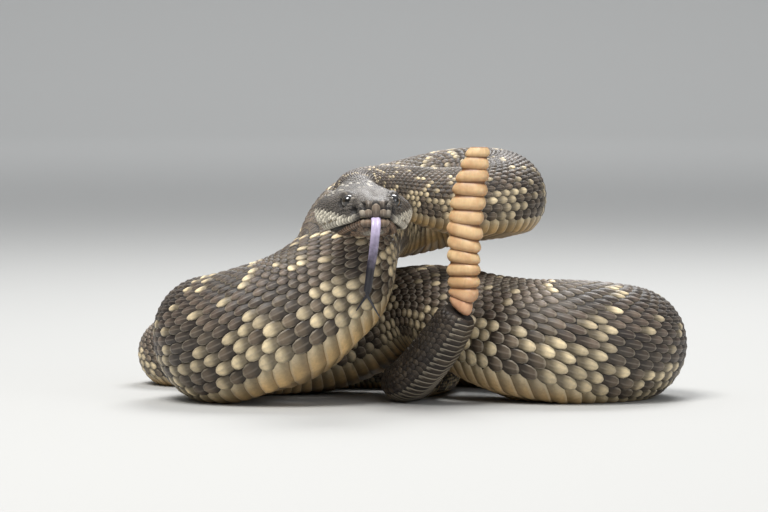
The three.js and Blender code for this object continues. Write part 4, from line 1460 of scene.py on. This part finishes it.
class SNAKE_OT_eyes(bpy.types.Operator):
    """Makes the eyeballs with upright slit pupils"""
    bl_idname = "snake.eyes"
    bl_label = "Eyes"

    def execute(self, context):
        radius = sizes().eye_radius / MM
        polar = math.pi * np.arange(1, EYE_RINGS)[:, None] / EYE_RINGS
        around = TURN * np.arange(EYE_SIDES)[None, :] / EYE_SIDES
        for name, sign in (("eye_left", 1), ("eye_right", -1)):
            out = sign * np.cos(polar) * np.ones(EYE_SIDES)
            rings = np.stack([np.sin(polar) * np.cos(around), out, np.sin(polar) * np.sin(around)], -1)
            ball, faces = capped(rings, ends=[[0, sign, 0], [0, -sign, 0]])
            if sign > 0:
                faces = [face[::-1] for face in faces]
            centre = np.array([EYE["x"], sign * EYE["y"], EYE["z"]])
            points = head_to_world(ball * radius + centre)
            made = new_object(name + "_ball", points, *loops_of(faces), "eye", material("slit eye"))
            unwrap(made, "Iris", ball[:, [0, 2]])
            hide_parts(name)
        return {"FINISHED"}


# Tongue, in the head's frame

TONGUE_LINE = [
    [37.5, 0, -1.7], [40.8, 0, -1.8], [43.4, -0.2, -3.1], [45.0, -0.7, -6.8],
    [46.0, -1.5, -13], [46.6, -2.5, -19], [47.0, -3.3, -25],
]
TONGUE_TIPS = [
    [[46.6, -2.5, -19], [47.0, -3.0, -25], [47.2, -4.6, -27.6], [47.6, -7.0, -31.0]],
    [[46.6, -2.5, -19], [47.0, -3.5, -25], [47.3, -1.9, -28.6], [47.8, 0.9, -33.5]],
]
TONGUE_SIDES = 24


def ribbon(line, widths, thicks):
    """Rings of a flat strip with a groove down its front, along a smooth line."""
    count = 14 * (len(line) - 1)
    table = np.array(line, float)
    at = np.linspace(0, len(line) - 1, count)
    centre = rows_at(table, at)
    along = unit(np.gradient(centre, axis=0))
    across = unit(np.array([0, 1, 0]) - along * along[:, 1:2])
    front = np.cross(along, across)
    share = np.linspace(0, 1, count)
    wide = np.interp(share, np.linspace(0, 1, len(widths)), widths) / 2
    thick = np.interp(share, np.linspace(0, 1, len(thicks)), thicks) / 2
    angle = TURN * np.arange(TONGUE_SIDES) / TONGUE_SIDES
    groove = 1 - 0.45 * np.exp(-(np.cos(angle) / 0.3) ** 2)
    points = centre[:, None] + across[:, None] * (wide[:, None] * np.cos(angle))[..., None]
    return points + front[:, None] * (thick[:, None] * np.sin(angle) * groove)[..., None], share


class SNAKE_OT_tongue(bpy.types.Operator):
    """Makes the forked tongue that hangs from the mouth"""
    bl_idname = "snake.tongue"
    bl_label = "Tongue"

    def execute(self, context):
        strips = [ribbon(TONGUE_LINE, [3.1, 3.1, 2.9, 2.4], [1.3, 1.3, 1.2, 1.0])]
        strips += [ribbon(tip, [1.4, 1.2, 0.8, 0.3], [0.95, 0.85, 0.6, 0.3]) for tip in TONGUE_TIPS]
        points, faces, flat = [], [], []
        for number, (rings, share) in enumerate(strips):
            strip_points, strip_faces = capped(rings, sum(len(p) for p in points))
            points.append(strip_points)
            faces += strip_faces
            along = share * 0.72 if number == 0 else 0.6 + 0.4 * share
            u = np.concatenate([np.repeat(along, TONGUE_SIDES), [along[0], along[-1]]])
            flat.append(np.stack([u, np.full(len(u), 0.5)], -1))
        made = new_object("forked_tongue", head_to_world(np.vstack(points)),
                          *loops_of(faces), "tongue", material("tongue flesh"))
        unwrap(made, "Scale", np.vstack(flat))
        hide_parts("tongue")
        return {"FINISHED"}


# Rattle: interlocking lobed segments

RATTLE = {"height": 54.9, "wide": 6.1, "thick": 3.9, "groove": 0.2}
RATTLE_X = 17.5
RATTLE_Y = -7.2
RATTLE_SWAY = 0.0033
RATTLE_STRAIGHT = 47
RATTLE_TWIST = (-0.75, -0.15)
RATTLE_SIDES = 96
SEGMENT_RINGS = 26

# The foot lies square to the tail's end, a gap beyond it, and turns upright over this share of the height
RATTLE_GAP = 0.5
RATTLE_TURN = 0.16

# How far each segment tips, in slope, and how its girth strays; the middle of the rattle also slopes to a side
SEGMENT_TIP = 0.05
SEGMENT_GIRTH = 0.02
RATTLE_SLOPE = {"depth": 0.15, "place": 0.5, "width": 0.18}


def segment_foot(t):
    """Share of the rattle's height below a share of its segments."""
    return np.clip(t - 0.016 * np.sin(TURN * (t - 0.08)), 0, 1)


def rattle_size(t):
    """Share of the full section at a share of the rattle's height: narrow at the foot and at the tip."""
    foot = 0.72 + 0.3 * np.clip(t / RATTLE_TURN, 0, 1)
    tip = np.clip((1 - t) / 0.26, 0, 1)
    return foot * (0.5 + 0.5 * tip ** 0.7)


def segment_swell(t):
    """Outline of one segment from its waist over its lobe to the next waist."""
    lobe = np.sin(math.pi * np.clip(t * 0.94 + 0.03, 0, 1)) ** 0.55
    skew = 1 + 0.05 * np.sin(TURN * t)
    return 0.68 + 0.32 * lobe * skew


def rattle_frame(t):
    """Centre of the rattle at a share of its height, and its directions up, across and to the front."""
    foot = LINE[-1, :3] + HEADING[-1] * RATTLE_GAP
    z = foot[2] + RATTLE["height"] * t
    x = RATTLE_X + RATTLE_SWAY * (z - RATTLE_STRAIGHT) ** 2 - MIDDLE[0]
    turned = smooth(t, 0, RATTLE_TURN)
    low = np.array([foot[0], foot[1], z])
    centre = low + (np.array([x, RATTLE_Y - MIDDLE[1], z]) - low) * turned
    up = unit(HEADING[-1] + (np.array([0, 0, 1]) - HEADING[-1]) * turned)
    twist = RATTLE_TWIST[0] + (RATTLE_TWIST[1] - RATTLE_TWIST[0]) * t
    flat = np.array([math.cos(twist), math.sin(twist), 0])
    across = unit(flat - up * (flat @ up))
    return centre, up, across, np.cross(up, across)


def rattle_ring(t, share, fat, tilt, free):
    """One ring of a segment, at a share t of the rattle's height and a share of the segment's."""
    angle = TURN * np.arange(RATTLE_SIDES) / RATTLE_SIDES
    size = rattle_size(t) * segment_swell(share) * fat
    centre, up, over, front = rattle_frame(t)
    pinch = 1 - RATTLE["groove"] * np.abs(np.sin(angle)) ** 6 + 0.03 * np.cos(4 * angle)
    torn = 1 + 0.07 * np.sin(3 * angle + 9 * t) * np.sin(7 * angle + 2) * smooth(t, 0.9, 0.99)
    wide = RATTLE["wide"] * size * np.cos(angle) * torn
    thick = RATTLE["thick"] * size * np.sin(angle) * pinch * torn
    slope = tilt[0] - RATTLE_SLOPE["depth"] * hump(t, RATTLE_SLOPE["place"], RATTLE_SLOPE["width"])
    lift = (slope * wide + tilt[1] * thick) * free
    return centre + wide[:, None] * over + thick[:, None] * front + lift[:, None] * up


class SNAKE_OT_rattle(bpy.types.Operator):
    """Makes the rattle from lobed, interlocking segments"""
    bl_idname = "snake.rattle"
    bl_label = "Rattle"

    def execute(self, context):
        rng = np.random.default_rng(600)
        count = sizes().rattle_segments
        rings, marks = [], []
        for i in range(count):
            low, high = segment_foot(i / count), segment_foot((i + 1) / count)
            tilt = rng.normal(0, SEGMENT_TIP, 2)
            fat = 1 + rng.normal(0, SEGMENT_GIRTH)
            free = 1 if 0 < i < count - 1 else 0.2
            for k in range(SEGMENT_RINGS):
                share = (k + 0.5) / SEGMENT_RINGS
                t = low + (high - low) * share
                rings.append(rattle_ring(t, share, fat, tilt, free))
                # Green is painted shade in the waists and over the lower part of each segment, blue a deeper
                # painted shade in the waists
                waist = 1 - smooth(share, 0.0, 0.2) * smooth(share, 1.0, 0.8)
                groove = max(0.8 * waist, 0.45 * smooth(share, 0.45, 0.12))
                marks.append([smooth(t, 0.2, 0.03), groove, 0.9 * waist ** 3, rng.random()])
        points, faces = capped(np.array(rings))
        made = new_object("rattle_segments", points, *loops_of(faces), "horn", material("rattle horn"))
        paint(made, "Marks", np.vstack([np.repeat(marks, RATTLE_SIDES, axis=0), marks[0], marks[-1]]))
        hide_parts("rattle")
        return {"FINISHED"}


# Studio: pale floor, soft light and the camera of the photo

VIEW_ELEVATION = math.radians(4.5)
PIXEL = 0.335 * MM
PICTURE = (768, 512)
AIM_PIXEL = (411, 405)
SENSOR = 36.0
FLOOR_SIDES = 96

# Radius and height of the rings of the floor, which curves up far away, in metres
FLOOR_RINGS = ((0.02, 0), (0.6, 0), (2.0, 0), (4.0, 0), (5.0, 0.25), (5.6, 1.0), (5.8, 2.2), (5.8, 4.0))

# Name, place, aim, power, size and tone of each light
LIGHTS = (
    ("key", (-0.35, -0.55, 1.2), (0, 0, 0.03), 20, 0.7, (1.0, 0.98, 0.95)),
    ("fill", (0.9, -0.9, 0.5), (0, 0, 0.03), 4, 0.8, (0.95, 0.97, 1.0)),
    ("back", (0.2, 0.7, 1.0), (0, 0, 0.05), 11, 0.6, (1.0, 1.0, 1.0)),
    ("far floor", (0, 3.6, 2.0), (0, 3.9, 0), 30, 2.5, (0.97, 0.98, 1.0)),
)


def area_light(name, place, aim, power, size, tone):
    """A round soft light that faces its aim."""
    data = bpy.data.lights.new(name, "AREA")
    data.energy = power
    data.shape = "DISK"
    data.size = size
    data.color = tone
    light = bpy.data.objects.new(name, data)
    light.location = place
    light.rotation_euler = (Vector(aim) - Vector(place)).to_track_quat("-Z", "Y").to_euler()
    bpy.context.scene.collection.objects.link(light)


def floor_object():
    """A pale round floor that curves up far away."""
    made, _, shader = plain_material("pale floor", (0.6, 0.6, 0.6))
    shader.inputs["Base Color"].default_value = (0.44, 0.44, 0.43, 1)
    shader.inputs["Roughness"].default_value = 0.9
    angle = TURN * np.arange(FLOOR_SIDES) / FLOOR_SIDES
    circle = np.stack([np.cos(angle), np.sin(angle)], -1)
    rings = [np.column_stack([radius * circle, np.full(FLOOR_SIDES, z)]) for radius, z in FLOOR_RINGS]
    points = np.vstack([*rings, [0, 0, 0]])
    faces = [face[::-1] for face in sheet_faces(len(rings), FLOOR_SIDES).tolist()]
    faces += fan(len(points) - 1, 0, FLOOR_SIDES, -1)
    mesh = bpy.data.meshes.new("floor")
    mesh.from_pydata(points.tolist(), [], faces)
    mesh.polygons.foreach_set("use_smooth", [True] * len(mesh.polygons))
    mesh.materials.append(made)
    return bpy.data.objects.new("floor", mesh)


def camera_object():
    """The camera of the photo, a little over level in front of the coil."""
    distance = sizes().lens_distance
    data = bpy.data.cameras.new("camera")
    data.sensor_width = SENSOR
    data.lens = SENSOR * distance / (PICTURE[0] * PIXEL)
    data.shift_x = (PICTURE[0] / 2 - AIM_PIXEL[0]) / PICTURE[0]
    data.shift_y = (AIM_PIXEL[1] - PICTURE[1] / 2) / PICTURE[0]
    data.clip_start, data.clip_end = 0.05, 20
    back = Vector((0, -math.cos(VIEW_ELEVATION), math.sin(VIEW_ELEVATION)))
    camera = bpy.data.objects.new("camera", data)
    camera.location = Vector((-MIDDLE[0] * MM, -MIDDLE[1] * MM, 0)) + back * distance
    camera.rotation_euler = (-back).to_track_quat("-Z", "Y").to_euler()
    return camera


class SNAKE_OT_stage(bpy.types.Operator):
    """Makes the pale floor, the soft lights and the camera"""
    bl_idname = "snake.stage"
    bl_label = "Stage"

    def execute(self, context):
        floor, camera = floor_object(), camera_object()
        for made in (floor, camera):
            context.scene.collection.objects.link(made)
        context.scene.camera = camera
        world = bpy.data.worlds.new("soft sky")
        world.use_nodes = True
        sky = world.node_tree.nodes["Background"].inputs
        sky["Color"].default_value = (0.93, 0.96, 1.0, 1)
        sky["Strength"].default_value = 0.6
        context.scene.world = world
        for light in LIGHTS:
            area_light(*light)
        context.scene.view_settings.view_transform = "Standard"
        return {"FINISHED"}


class SNAKE_PT_panel(bpy.types.Panel):
    bl_label = "Rattlesnake"
    bl_idname = "SNAKE_PT_panel"
    bl_space_type = "VIEW_3D"
    bl_region_type = "UI"
    bl_category = "Rattlesnake"

    def draw(self, context):
        column = self.layout.column()
        for group in (context.scene.snake_sizes, context.scene.snake_colours):
            for name in group.__annotations__:
                column.prop(group, name)
        for operator in OPERATORS:
            column.operator(operator.bl_idname)


OPERATORS = (SNAKE_OT_skin, SNAKE_OT_scales, SNAKE_OT_scutes, SNAKE_OT_tail, SNAKE_OT_head, SNAKE_OT_eyes,
             SNAKE_OT_tongue, SNAKE_OT_rattle, SNAKE_OT_stage)
CLASSES = (SnakeColours, SnakeSizes, *OPERATORS, SNAKE_PT_panel)


def register():
    for kind in CLASSES:
        bpy.utils.register_class(kind)
    bpy.types.Scene.snake_colours = PointerProperty(type=SnakeColours)
    bpy.types.Scene.snake_sizes = PointerProperty(type=SnakeSizes)


def unregister():
    del bpy.types.Scene.snake_sizes
    del bpy.types.Scene.snake_colours
    for kind in reversed(CLASSES):
        bpy.utils.unregister_class(kind)


def main():
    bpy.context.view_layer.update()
    register()
    bpy.ops.snake.skin()
    bpy.ops.snake.scales()
    bpy.ops.snake.scutes()
    bpy.ops.snake.tail()
    bpy.ops.snake.head()
    bpy.ops.snake.eyes()
    bpy.ops.snake.tongue()
    bpy.ops.snake.rattle()
    bpy.ops.snake.stage()


if __name__ == "__main__":
    main()
